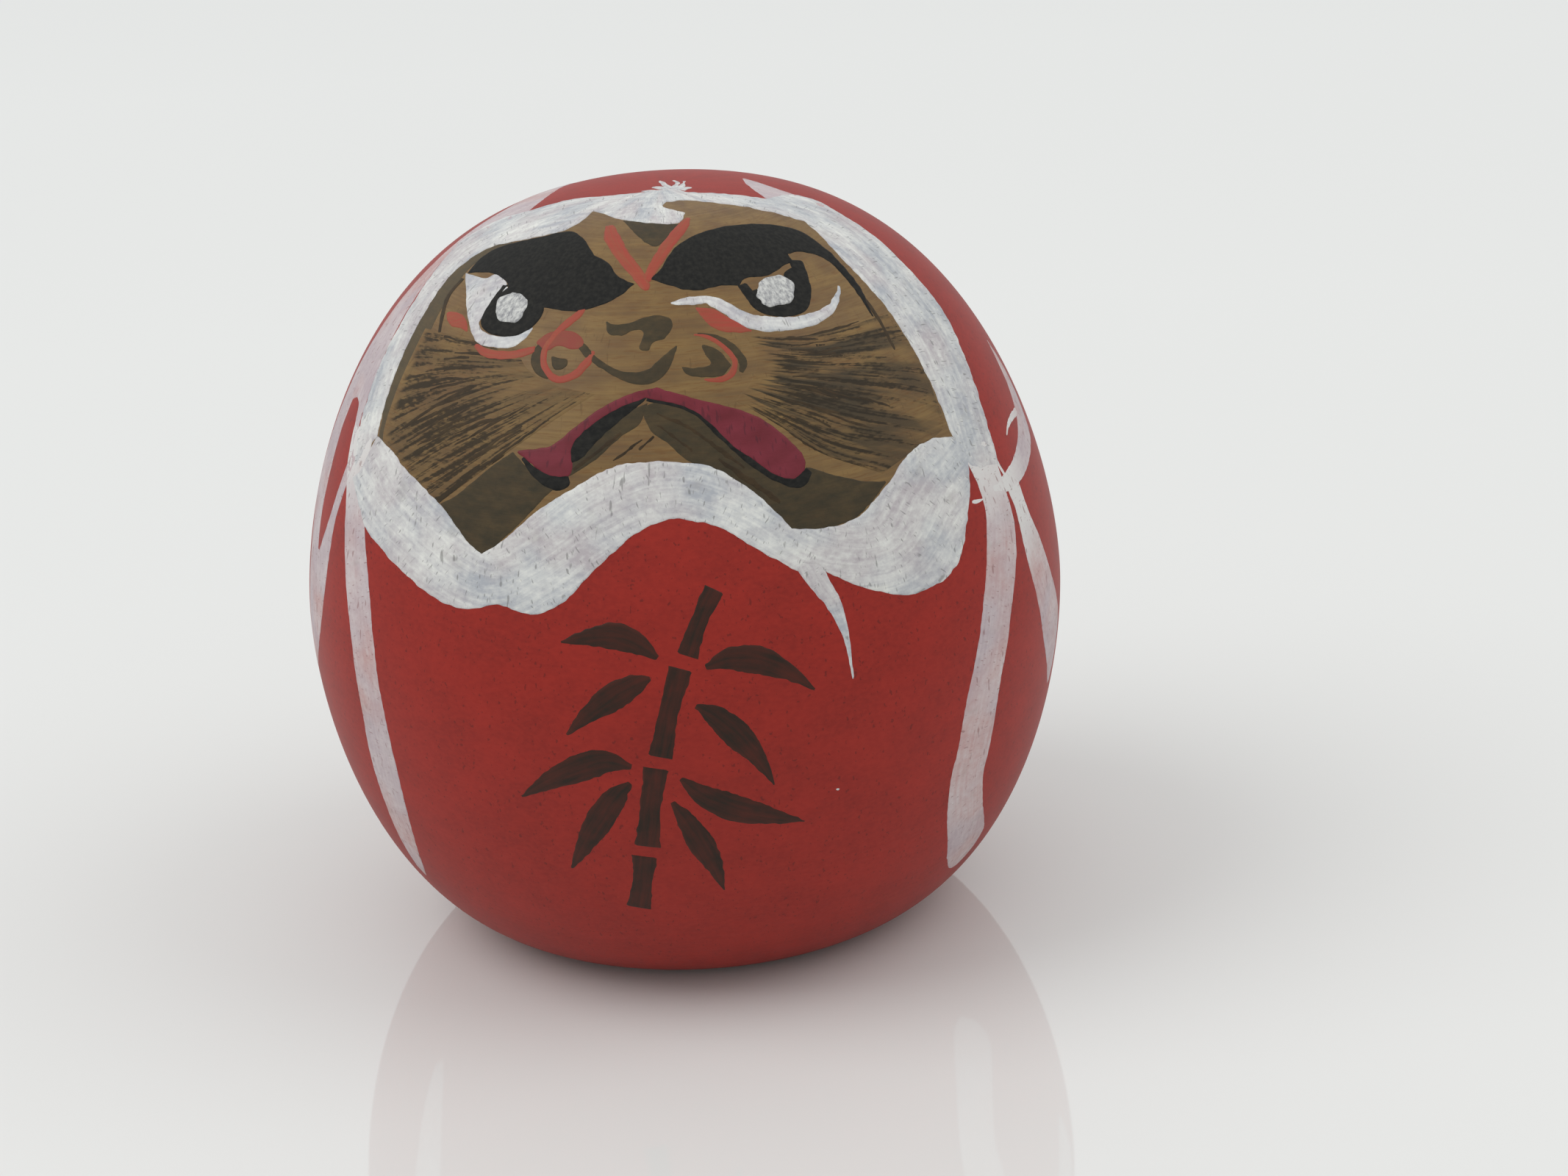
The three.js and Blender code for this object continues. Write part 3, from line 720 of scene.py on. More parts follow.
def make_silver_dot():
    """Thick white with a little mica in it: lumpy and greyer than the trim."""
    material, tree = new_material("thick_white_dot")
    lumps = grains(tree, "turned", (0.35, 0.35, 0.35), detail=4.0, sharpness=0.7)
    base = blended(tree, between(tree, lumps, 0.35, 0.62), colour("#86868A"), colour("#D0D0CC"))
    return finish(material, base, 0.4, lumps, 0.06)


bare_wood = make_bare_wood()
red_paint = make_red_paint()
trim_white = make_chalk_white("chalk_white_trim", "#E0E0DB", ("#ABAEB4", "#B5AEB1"), 0.42, "#6F6E6C")
LINE_TONES = ("#CBC0C0", ("#B5A6AB", "#BC9C9A"), 0.43, "#8A6462")
robe_white = make_chalk_white("chalk_white_robe_line", *LINE_TONES)
fresh_white = make_chalk_white("chalk_white_fresh_line", *LINE_TONES, fresh=6.0)
black_ink = make_black_ink()
olive_wash = make_wash("ink_wash_olive", "#353023", 0.9)
pale_wash = make_wash("ink_wash_pale", "#464133", 0.8)
red_over_ink = make_wash("thin_vermilion_over_ink", "#8A4038", 0.92)
whisker_ink = make_wash("dry_ink_whisker", "#2A2115", 0.9)
bright_red = make_bright_red()
crimson = make_crimson()
brown_ink = make_brown_ink()
dry_ink_left = make_dry_brush("dry_ink_left_cheek", 11.6, 0.35, 0.4, late=0.5)
dry_ink_right = make_dry_brush("dry_ink_right_cheek", 14.0, 1.0, 0.65, late=2.0)
silver_white = make_silver_dot()


# ---- the turned body and its red coat ----


def section():
    """Radius and height along the body's section, from the foot's rim to the crown."""
    turns = np.linspace(-math.pi / 2, math.pi / 2, SECTION_STEPS)
    lower = np.clip(-turns, 0, None)
    upper = np.clip(turns, 0, None)
    low_radius = FOOT_RADIUS + (BODY_RADIUS - FOOT_RADIUS) * np.cos(lower) ** (2 / LOWER_ACROSS)
    low_height = WIDEST_HEIGHT * (1 - np.sin(lower) ** (2 / LOWER_DROP))
    high_radius = BODY_RADIUS * np.abs(np.cos(upper)) ** (2 / UPPER_ACROSS)
    high_height = WIDEST_HEIGHT + (BODY_HEIGHT - WIDEST_HEIGHT) * np.sin(upper) ** (2 / UPPER_RISE)
    radius = np.where(turns < 0, low_radius, high_radius)
    height = np.where(turns < 0, low_height, high_height)
    return radius[:-1], height[:-1]


def ring_points(radius, height):
    turns = np.linspace(0, 2 * math.pi, TURN_STEPS, endpoint=False)
    ring_x = radius[:, None] * np.sin(turns)
    ring_y = -radius[:, None] * np.cos(turns)
    ring_z = np.broadcast_to(height[:, None], ring_x.shape)
    return np.stack([ring_x, ring_y, ring_z], axis=-1).reshape(-1, 3)


def ring_faces(rows):
    faces = []
    for row in range(rows - 1):
        for step in range(TURN_STEPS):
            after = (step + 1) % TURN_STEPS
            low = row * TURN_STEPS
            faces.append((low + step, low + after, low + TURN_STEPS + after, low + TURN_STEPS + step))
    return faces


def capped(rows, faces, count):
    """Fan faces from the last ring of a revolved sheet to one point on the axis."""
    ring = (rows - 1) * TURN_STEPS
    return faces + [(ring + step, ring + (step + 1) % TURN_STEPS, count) for step in range(TURN_STEPS)]


def add_wood_body():
    """The turned block: a hollowed foot that stands on its rim, then the rounded body."""
    radius, height = section()
    radius = np.concatenate([[CENTRE_RADIUS, HOLLOW_RADIUS - HOLLOW_DEPTH, HOLLOW_RADIUS], radius])
    height = np.concatenate([[HOLLOW_DEPTH, HOLLOW_DEPTH, 0], height])
    points = ring_points(radius, height)
    rows = len(radius)
    top = np.array([[0, 0, BODY_HEIGHT]])
    faces = capped(rows, ring_faces(rows), len(points))
    faces.append(tuple(reversed(range(TURN_STEPS))))
    points = np.concatenate([points, top])
    skin = (points, faces, turned_place(points)[:, 1:])
    add_piece("turned_wood_body_finished", [skin], bare_wood, "bare_wood", "turned_wood_body")


FACE_WINDOW = (
    [(-19.4, 3.4), (-18.4, 7), (-16.8, 11), (-14.5, 15), (-12.5, 17.2), (-9, 18), (-4.5, 18.9), (1, 19.2)],
    [(1, 19.2), (4.5, 18.6), (8, 18), (10.5, 17), (13, 14), (15.5, 10.5), (17.5, 6.5), (18.7, 2.5)],
    [(18.7, 2.5), (17, -2.5), (15, -5.5), (12.5, -6.6), (10, -6.3), (7.8, -6.5)],
    [(7.8, -6.5), (5, -4.9), (2.5, -3.1), (0, -2.7), (-2.5, -3.3), (-5.5, -5.3), (-8.5, -6.7)],
    [(-8.5, -6.7), (-11.5, -6.8), (-14, -5), (-16.5, -2), (-19.4, 3.4)],
)


def add_red_coat():
    """The coat dips under the wood inside the face window, whose edge the white trim covers."""
    radius, height = section()
    kept = height > COAT_START
    points = ring_points(radius[kept], height[kept])
    rows = int(kept.sum())
    crown_point = np.array([[0, 0, BODY_HEIGHT]])
    points = np.concatenate([points, crown_point])
    normals = outward(points)
    normals[-1] = (0, 0, 1)
    flat = (points - MIDDLE) @ face.axes[:2].T
    _, inside = edge_distance(flat, outline(*FACE_WINDOW))
    window = inside & (normals @ face.axes[2] > 0)
    top = points + normals * np.where(window, COAT_UNDER, COAT_THICK)[:, None]
    bottom = points + normals * COAT_INSIDE
    sheet = capped(rows, ring_faces(rows), len(points) - 1)
    skin = closed_skin(top, bottom, sheet, turned_place(points)[:, 1:])
    add_piece("red_robe_coat_finished", [skin], red_paint, "red_paint", "red_robe_coat")


# ---- white trim ----


def add_hood_band():
    left_inner = [(-18.5, 4.2), (-17.7, 6.9), (-16.4, 9.9), (-14.7, 13), (-13.5, 14.7), (-12.3, 15.6)]
    top_inner = [(-12.3, 15.6), (-10.8, 16.2), (-8.2, 16.1), (-6.1, 16.3), (-4.9, 17.1), (-4.3, 18)]
    patch = [(-4.3, 18), (-3.5, 17.5), (-2.7, 16.9), (-1, 16.2), (0.8, 15.9), (1.4, 16.3), (1.6, 17.1)]
    chip = [(1.6, 17.1), (1, 17.4), (0.2, 17.9), (0.4, 18.5)]
    right_inner = [(0.4, 18.5), (1.7, 18.6), (3.4, 18.2), (5.2, 17.8), (7.2, 17.2), (9, 16.6)]
    right_down = [(9, 16.6), (9.8, 15.6), (11.6, 13), (13.6, 10.4), (15.3, 7.4), (16.6, 4.5), (17.5, 1.9)]
    foot = [(17.5, 1.9), (18.6, 0.2), (20.6, 1)]
    outer_right = [
        (20.6, 1), (19.8, 4.2), (18.9, 7.8), (17.6, 11.3), (15.9, 13.7), (13.8, 16.2),
        (11.4, 18.3),
    ]
    shoulder = [(11.4, 18.3), (10, 19.4), (8.3, 19.8), (6.7, 18.9)]
    top_right = [(6.7, 18.9), (5.1, 19.2), (3.4, 19.5), (1.6, 19.8), (0.9, 20.6), (0.2, 20.3)]
    top_left = [(0.2, 20.3), (-1.7, 20), (-3.7, 19.9), (-5.9, 20), (-8.5, 19.5), (-10.8, 19.4), (-13.2, 18.4)]
    outer_left = [
        (-13.2, 18.4), (-14.2, 17), (-16.3, 13.5), (-18.1, 10.3), (-19.3, 7.4), (-20, 5),
        (-20.3, 2.6),
    ]
    runs = (left_inner, top_inner, patch, chip, right_inner, right_down, foot)
    runs += (outer_right, shoulder, top_right, top_left, outer_left)
    guide = [
        (-19.6, 2), (-18.2, 8), (-15, 14.4), (-11, 17.8), (0, 18.6), (8, 18.2), (12.6, 15),
        (17, 8.4), (19.2, 1),
    ]
    band = film(face, outline(*runs), HOOD, guide=guide, rough=0.03, lumps=0.003, name="hood")
    lay("hood_trim_band", trim_white, "white_paint", band, *chip_flakes())


def chip_flakes():
    """Thin white flecks that stand round the chipped place on the crown."""
    rays = (
        [(0.6, 20.2, 0.7), (0.2, 21, 0.5), (-0.2, 21.9, 0.1)],
        [(0.9, 20.4, 0.6), (1, 21.2, 0.35), (0.6, 21.9, 0.1)],
        [(1, 20.2, 0.6), (1.4, 20.9, 0.4), (1.5, 21.7, 0.1)],
        [(0.5, 20.3, 0.8), (-0.3, 20.6, 0.5), (-0.7, 20.7, 0.15)],
        [(1.2, 20, 0.7), (1.7, 20.3, 0.5), (2.1, 20.3, 0.1)],
        [(0.2, 19.8, 0.8), (-0.8, 20.1, 0.5), (-1.4, 20.2, 0.15)],
    )
    return [stroke(face, ray, HOOD + 0.02, name=f"ray{place}", rough=0.1) for place, ray in enumerate(rays)]


def add_collar_band():
    upper_left = [(-18.5, 4.4), (-17.4, 2.9), (-16, 0.7), (-14.2, -1.6), (-12.7, -4), (-11.7, -5.1)]
    upper_middle = [(-11.7, -5.1), (-10.4, -4.6), (-8.1, -3.2), (-5.9, -2.2), (-3.3, -1.1), (-0.4, -1)]
    upper_rise = [(-0.4, -1), (2.4, -1.4), (4.4, -2.5), (6.3, -4.1), (7.2, -5.1)]
    upper_right = [(7.2, -5.1), (9.4, -4.9), (11.3, -4.1), (13, -2.2), (14.5, 0), (16, 1.3), (17.5, 1.9)]
    right = [(17.5, 1.9), (18.3, 1.2), (18.5, -0.8), (18.2, -3), (17.6, -5.6), (16.4, -7.3)]
    lower_right = [(16.4, -7.3), (14.3, -8.4), (12, -8.4), (10, -7.9), (9.2, -7.6)]
    lower_middle = [(7.4, -7.6), (6.2, -7), (4.9, -6.3), (3.1, -5.2), (1.3, -4.7), (0, -4.5), (-1.2, -4.8)]
    lower_dip = [
        (-1.2, -4.8), (-2.6, -5.5), (-4.1, -6.6), (-5.5, -7.7), (-6.6, -8.6), (-8.4, -9.2),
        (-9.9, -8.7),
    ]
    lower_left = [(-9.9, -8.7), (-10.9, -8.2), (-12.6, -8.2), (-13.9, -7.7), (-15.7, -6.3), (-17.9, -3.8)]
    left = [(-17.9, -3.8), (-19.5, -1.2), (-20.4, 2.5)]
    runs = (upper_left, upper_middle, upper_rise, upper_right, right, lower_right)
    runs += (lower_middle, lower_dip, lower_left, left)
    guide = [(-20, 4), (-17.2, -1.4), (-12, -6.6), (-8.4, -6.2), (-4, -3.9), (0, -2.8), (4, -4), (9, -6.6)]
    guide += [(13.4, -6), (16, -2), (18.4, 1.4)]
    band = film(face, outline(*runs), COLLAR, guide=guide, rough=0.03, lumps=0.003, name="collar")
    lay("collar_trim_band", trim_white, "white_paint", band)
    tail = [
        (7.5, 8.3, 1.6), (7.7, 7.7, 2), (8.2, 6.7, 1.9), (8.75, 5.6, 1.5), (9.45, 4.4, 1.2),
        (9.95, 3, 0.75),
    ]
    tail += [(10.25, 1.6, 0.4), (10.4, 0.2, 0.22), (10.5, -1, 0.08)]
    flick = stroke(belly, tail, ROBE_LINE, base=ROBE_BASE, name="tail")
    lay("collar_tail", trim_white, "white_paint", flick)


def robe_film(runs, guide, name, place=side):
    return film(place, outline(*runs), ROBE_LINE, base=ROBE_BASE, guide=guide, name=name)


def robe_stroke(path, name, place=side):
    return stroke(place, path, ROBE_LINE, COAT_THICK, name=name)


def add_left_robe_lines():
    outer = [
        (-30.8, 37), (-29.6, 34.6), (-28.2, 32.7), (-27.4, 31), (-26.1, 27.7), (-25, 24.2),
        (-24.5, 20), (-24.8, 16.4),
    ]
    lower = [(-24.8, 16.4), (-25.1, 12.8), (-25.6, 9.6), (-25.9, 7.2)]
    inner = [(-25.2, 6.6), (-24, 8), (-22.9, 10.1), (-22, 12.8), (-21.5, 16.3), (-21.6, 20.2), (-22.1, 24.5)]
    upper = [(-22.1, 24.5), (-23.1, 28.5), (-24.6, 31.8), (-26.8, 37)]
    guide = [(-28.6, 37), (-25.6, 30), (-23.4, 24), (-22.9, 18), (-23.6, 12), (-25.4, 7)]
    line = robe_film((outer, lower, inner, upper), guide, "left_inner")
    lay("robe_line_left_inner", fresh_white, "white_paint", line)
    rim_edges = (
        [(-37.3, 38), (-37.4, 34), (-36.9, 30.6), (-35.6, 28.2), (-35, 25.5), (-34.7, 22.5), (-34.5, 19.4)],
        [(-34.3, 19.3), (-32.6, 20.7), (-31.3, 22.2), (-30.3, 24), (-29.7, 26), (-29.4, 28), (-29.2, 31)],
        [(-29.2, 31), (-27.9, 35.6)],
        [(-29.2, 35.6), (-30.3, 31.4), (-31.1, 29.6), (-31.9, 28.2)],
        [(-32.3, 28.2), (-32.8, 30.4), (-33, 33), (-33.5, 36), (-33.6, 38)],
    )
    guide = [(-34.6, 38), (-34.6, 32), (-33.2, 27), (-32.4, 23), (-34.2, 19)]
    line = robe_film(rim_edges, guide, "left_outer")
    lay("robe_line_left_outer", robe_white, "white_paint", line)


def add_right_robe_lines():
    left = [(23.4, 34.4), (23.9, 32.4), (23.9, 30.8), (23.2, 28.9), (22.3, 26.8), (21.4, 24.7), (20.1, 21.2)]
    left_low = [(20.1, 21.2), (19.5, 19.2), (19.1, 16.4), (18.8, 14.4), (19, 12.4), (19.7, 10.2), (21.3, 7.3)]
    end = [(21.3, 7.3), (23, 5.8), (24.6, 5.6), (26, 6.6), (26.2, 7.9)]
    right_low = [(26.2, 7.9), (23.9, 10.5), (22.6, 13.2), (22.7, 15.4), (23.1, 19.2), (23.8, 21.5)]
    right = [(23.8, 21.5), (24.6, 23.7), (25.6, 25.6), (26.6, 27.4), (27.2, 29.4), (27.2, 31), (27.2, 33.4)]
    top = [(27.2, 33.4), (26.6, 35.2)]
    guide = [(25.2, 35), (25.6, 30), (23.8, 26), (21.6, 20), (20.7, 14), (22.6, 9), (24, 6)]
    line = robe_film((left, left_low, end, right_low, right, top), guide, "right_inner")
    flick = robe_stroke([(22.7, 31.6, 0.12), (23.3, 31.5, 0.3), (24.2, 31.4, 0.1)], "flick")
    lay("robe_line_right_inner", fresh_white, "white_paint", line, flick)
    left = [
        (27.3, 31.4), (27.7, 29.9), (27.7, 28), (27.9, 26), (28.5, 23.8), (29.2, 21.5), (30, 19.7),
        (32.4, 16),
    ]
    right = [
        (32.8, 16), (34, 18), (34.3, 20.4), (33.4, 22), (31.8, 24.6), (30.7, 27.1), (29.8, 29),
        (29.4, 31.4),
    ]
    guide = [(28.4, 31), (28.8, 28), (30.2, 24), (32.2, 20), (33, 16)]
    line = robe_film((left, right), guide, "right_outer")
    lay("robe_line_right_outer", fresh_white, "white_paint", line)
    outer = [
        (37.7, 38.4), (38.1, 36.6), (37.9, 35), (37.2, 33.4), (36.4, 32.3), (34.8, 31.7),
        (32.3, 31.2), (29.8, 30.9),
    ]
    outer_end = [(29.8, 30.9), (27.6, 30.9), (25.4, 31.4)]
    inner = [(25.4, 31.9), (27.8, 32.1), (29.7, 32.4), (31.8, 33), (33.3, 33.6), (34.6, 34.4), (36, 35.8)]
    top = [(36, 35.8), (36.8, 37.2), (37.7, 38.4)]
    guide = [(26, 31.5), (31, 31.8), (35, 33), (37, 35), (37, 37.4)]
    crescent = robe_film((outer, outer_end, inner, top), guide, "hook")
    tick = robe_stroke([(30.2, 33.8, 0.1), (31.4, 34.2, 0.35), (33, 34.3, 0.5), (34.8, 34.2, 0.6)], "tick")
    link = robe_stroke([(27.7, 34.1, 0.1), (27.3, 33, 0.25), (27.7, 31.9, 0.35)], "link")
    lay("robe_hook_right", fresh_white, "white_paint", crescent, tick, link)


def add_left_crown_line():
    """A line that passes over the crown and runs down the back as a fold of the robe."""
    inner = [(-5.6, 8), (-6.5, 5.3), (-7.1, 3), (-7.7, 1.2), (-8.5, -0.8)]
    front = [
        (-8.5, -0.8), (-11, -1.4), (-13.1, -0.6), (-14.2, -1.4), (-15.3, -2.9), (-17.3, -5.2),
        (-19.4, -7.6),
    ]
    low = [(-19.4, -7.6), (-20.4, -8.6), (-20.3, -7.6), (-20, -6), (-21, -3.8), (-21.8, -1.9)]
    outer = [
        (-21.8, -1.9), (-20.4, -1.4), (-18.7, -1.2), (-17.1, -0.8), (-15.4, -0.3), (-13.7, 0.6),
        (-12.1, 1.7),
    ]
    back = [(-12.1, 1.7), (-10.4, 3), (-9.2, 5), (-8.2, 8)]
    guide = [(-7, 8), (-8.6, 2), (-12.4, 0), (-16, -2), (-20.4, -4.6)]
    line = robe_film((inner, front, low, outer, back), guide, "crown_left", crown)
    down = [(-7.4, 6, 2.4), (-6.9, 9, 2.3), (-7.6, 12.6, 2.1), (-8.9, 15.1, 2), (-9.9, 16.9, 0.9)]
    over = robe_stroke(down, "over_left", crown)
    fall = [
        (-65.3, 43.2, 0.7), (-64.9, 42, 1.9), (-64.3, 39, 2), (-63.4, 32, 1.9), (-62.8, 24, 1.8),
        (-63.4, 16, 1.6), (-65, 9, 1.1),
    ]
    back_line = robe_stroke(fall, "back_left")
    lay("crown_line_left", robe_white, "white_paint", line, over, back_line)


def add_right_crown_line():
    inner = [(5.2, 2.5), (5.4, 1), (5.9, -0.7), (6.7, -2.4)]
    outer = [(11.5, -1.6), (9.8, -0.4), (8.3, -0.1), (6.9, 1), (5.3, 2.7)]
    guide = [(5.2, 2.6), (6.4, 0), (9, -1.2)]
    front_line = robe_film((inner, [(6.7, -2.4), (11.5, -1.6)], outer), guide, "crown_right", crown)
    down = [(6.2, 9.6, 0.3), (6.8, 12, 1.3), (7.8, 14.7, 2), (8.8, 17, 0.9)]
    over = robe_stroke(down, "over_right", crown)
    fall = [
        (66.9, 44, 0.9), (66.5, 42.6, 2), (65.5, 39, 2), (64.2, 32, 1.9), (63.4, 24, 1.8),
        (64, 16, 1.6), (66, 9, 1),
    ]
    back_line = robe_stroke(fall, "back_right")
    lay("crown_line_right", robe_white, "white_paint", front_line, over, back_line)


# ---- the face ----


def add_brows():
    top = [(-12.4, 14.3), (-11.5, 15.5), (-10.2, 16), (-7.8, 16.1), (-5.8, 16.2), (-4.9, 15.4), (-4.1, 13.6)]
    nose_end = [(-4.1, 13.6), (-3.2, 12.8), (-2.7, 11.7), (-1.6, 10.9)]
    low = [(-1.6, 10.9), (-2.6, 10), (-3.7, 9.5), (-5.5, 9.3), (-7.2, 9.9), (-8, 9.9)]
    eye = [(-8, 9.9), (-9.4, 11.6), (-9.7, 12.5), (-10.7, 13.6), (-12.4, 14.3)]
    left = film(face, outline(top, nose_end, low, eye), BROW_INK, name="brow_left")
    lay("brow_left", black_ink, "black_ink", left)
    top = [(-0.7, 11.2), (0, 12), (0.8, 13.6), (2.3, 14.9), (4.2, 15.7), (6.6, 16), (8.7, 15.6), (10.6, 13.9)]
    tail = [(10.6, 13.9), (12.2, 11.5), (13, 9.2), (13.9, 6.9)]
    under = [(13.9, 6.9), (12.7, 9.5), (11.5, 11.6), (10.3, 13.1), (8.9, 13.6), (7.9, 13.3)]
    inner = [(7.9, 13.3), (8.2, 12.7), (7.6, 12.3), (6.6, 11.4), (5.2, 11.1), (4.8, 10.5)]
    low = [(4.8, 10.5), (3.7, 10.5), (2.4, 10.2), (1.2, 10.3), (-0.7, 11.2)]
    right = film(face, outline(top, tail, under, inner, low), BROW_INK, name="brow_right")
    lay("brow_right", black_ink, "black_ink", right)


def add_left_eye():
    inner = [
        (-12.5, 14.4), (-11.2, 13.4), (-10.5, 13.5), (-9.9, 12.9), (-9.6, 12), (-10.1, 11.5),
        (-10.4, 10.6),
    ]
    bowl = [(-10.4, 10.6), (-11.3, 10.1), (-11.4, 9.5), (-10.6, 8.7), (-9.3, 8.3), (-8.3, 8.5), (-7.8, 8.9)]
    outer = [(-7.8, 8.9), (-8.3, 8.1), (-9.3, 7.5), (-10.4, 7.7), (-11.5, 8.3), (-12.1, 9.7), (-12.4, 12)]
    corner = [(-12.4, 12), (-12.5, 14.4)]
    white = film(face, outline(inner, bowl, outer, corner), EYE_WHITE, name="white_left")
    lay("eye_white_left", trim_white, "white_paint", white)
    ring = [
        (-9.7, 12.4, 0.5), (-10.5, 11.2, 0.6), (-11, 10, 0.9), (-10.3, 9.1, 1), (-9, 8.7, 1),
        (-8, 9.3, 1.1),
    ]
    ring += [(-7.7, 10.4, 1.2)]
    rim = stroke(face, ring, EYE_RING, name="ring_left")
    pupil = [
        (-10.5, 11.2), (-9.7, 12.1), (-8.6, 11.9), (-7.9, 10.8), (-8, 9.6), (-9.1, 8.8),
        (-10.4, 9.2), (-10.9, 10.2),
    ]
    inside = film(face, loop(pupil), EYE_WHITE + 0.004, name="pupil_left")
    lay("eye_ring_left", black_ink, "black_ink", rim, inside)
    spot = [(-10.4, 10.3), (-10.2, 11.1), (-9.6, 11.5), (-8.9, 11.4), (-8.4, 10.9), (-8.3, 10.1), (-8.7, 9.4)]
    spot += [(-9.3, 9.2), (-10, 9.6)]
    dot = film(face, loop(spot), DOT, rough=0.07, lumps=0.014, name="dot_left")
    lay("eye_dot_left", silver_white, "white_paint", dot)


def add_right_eye():
    ring = [
        (8.3, 12.9, 1.1), (8.7, 11.4, 0.95), (8.8, 10, 0.9), (8.2, 8.95, 0.9), (7, 8.7, 0.8),
        (6, 9, 0.85),
    ]
    ring += [(5.4, 9.9, 0.8), (4.9, 10.7, 0.7)]
    rim = stroke(face, ring, BROW_INK - 0.003, name="ring_right")
    pupil = [
        (5.4, 10), (6.1, 9.1), (7.2, 8.8), (8.3, 9.3), (8.7, 10.6), (8.3, 12.2), (7.6, 11.8),
        (7.3, 11.1),
    ]
    pupil += [(6.3, 10.6)]
    inside = film(face, loop(pupil), BROW_INK - 0.006, name="pupil_right")
    lay("eye_ring_right", black_ink, "black_ink", rim, inside)
    spot = [
        (5.9, 10.3), (6.2, 11.1), (6.9, 11.4), (7.7, 11.4), (8.2, 10.9), (8.1, 10), (7.8, 9.4),
        (7.1, 9.1),
    ]
    spot += [(6.4, 9.1), (5.9, 9.5)]
    dot = film(face, loop(spot), DOT, rough=0.07, lumps=0.014, name="dot_right")
    lay("eye_dot_right", silver_white, "white_paint", dot)
    line = [(0.5, 9.3, 0.12), (1.5, 9.4, 0.6), (2.8, 9.45, 0.7), (3.8, 8.95, 0.9), (4.8, 8.2, 1.05)]
    line += [(6.2, 7.8, 1.2), (7.9, 7.95, 1), (9.4, 8.5, 0.85), (10.4, 9.4, 0.6), (10.85, 10.4, 0.35)]
    line += [(10.95, 11.2, 0.12)]
    under = stroke(face, line, EYE_WHITE, name="under_right", rough=0.05)
    lay("under_eye_line_right", trim_white, "white_paint", under)


def add_nose():
    top = [(-3.5, 8.5), (-3, 8.1), (-2, 8.1), (-1.2, 8.4), (0, 8.45), (0.6, 8.1), (0.6, 7.4), (0.1, 6.8)]
    low = [
        (0.1, 6.8), (-0.6, 6.5), (-0.9, 6), (-1.5, 6.2), (-1.3, 6.8), (-1.2, 7.3), (-1.6, 7.5),
        (-2.5, 7.2),
    ]
    bridge = film(face, outline(top, low, [(-2.5, 7.2), (-3.3, 7.4), (-3.5, 8.5)]), NOSE_INK, name="bridge")
    lay("nose_bridge_mark", olive_wash, "olive_wash", bridge)
    top = [(-5.6, 7.4), (-4.7, 6.9), (-4.1, 6), (-2.9, 5), (-1.8, 4.7), (-0.9, 4.9), (0, 5.7), (0.9, 6.4)]
    low = [(0.9, 6.4), (0.6, 5.3), (0, 4.3), (-1, 3.8), (-2.2, 4), (-3.6, 4.9), (-4.8, 6), (-5.6, 7.4)]
    tip = film(face, outline(top, low), NOSE_INK, name="tip")
    lay("nose_tip_line", olive_wash, "olive_wash", tip)
    left = [(-6.4, 7.4, 0.2), (-7.3, 7.2, 0.9), (-7.8, 6.4, 0.9), (-7.5, 5.5, 0.8), (-7, 4.9, 0.2)]
    spot = [(-6.9, 6.4), (-6.3, 6.2), (-5.8, 6), (-6, 5.5), (-6.7, 5.4)]
    blob = film(face, loop(spot), NOSE_INK, name="blob")
    ring = stroke(face, left, NOSE_INK, name="nostril_left")
    lay("nostril_mark_left", olive_wash, "olive_wash", ring, blob)
    top = [(1, 4.9), (2, 4.8), (2.8, 5), (2.5, 5.6), (2.3, 6.3), (2.9, 6.2), (3.6, 5.7), (4.1, 4.9)]
    low = [(4.1, 4.9), (3.5, 4.2), (2.4, 4.1), (1.4, 4.3), (1, 4.9)]
    right = film(face, outline(top, low), NOSE_INK, name="nr")
    arc = [(2, 7.1, 0.1), (3.2, 6.8, 0.4), (4.2, 6.1, 0.55), (4.8, 5.1, 0.6), (4.6, 4.4, 0.3)]
    wing = stroke(face, arc, NOSE_INK, name="nostril_arc")
    lay("nostril_mark_right", olive_wash, "olive_wash", right, wing)


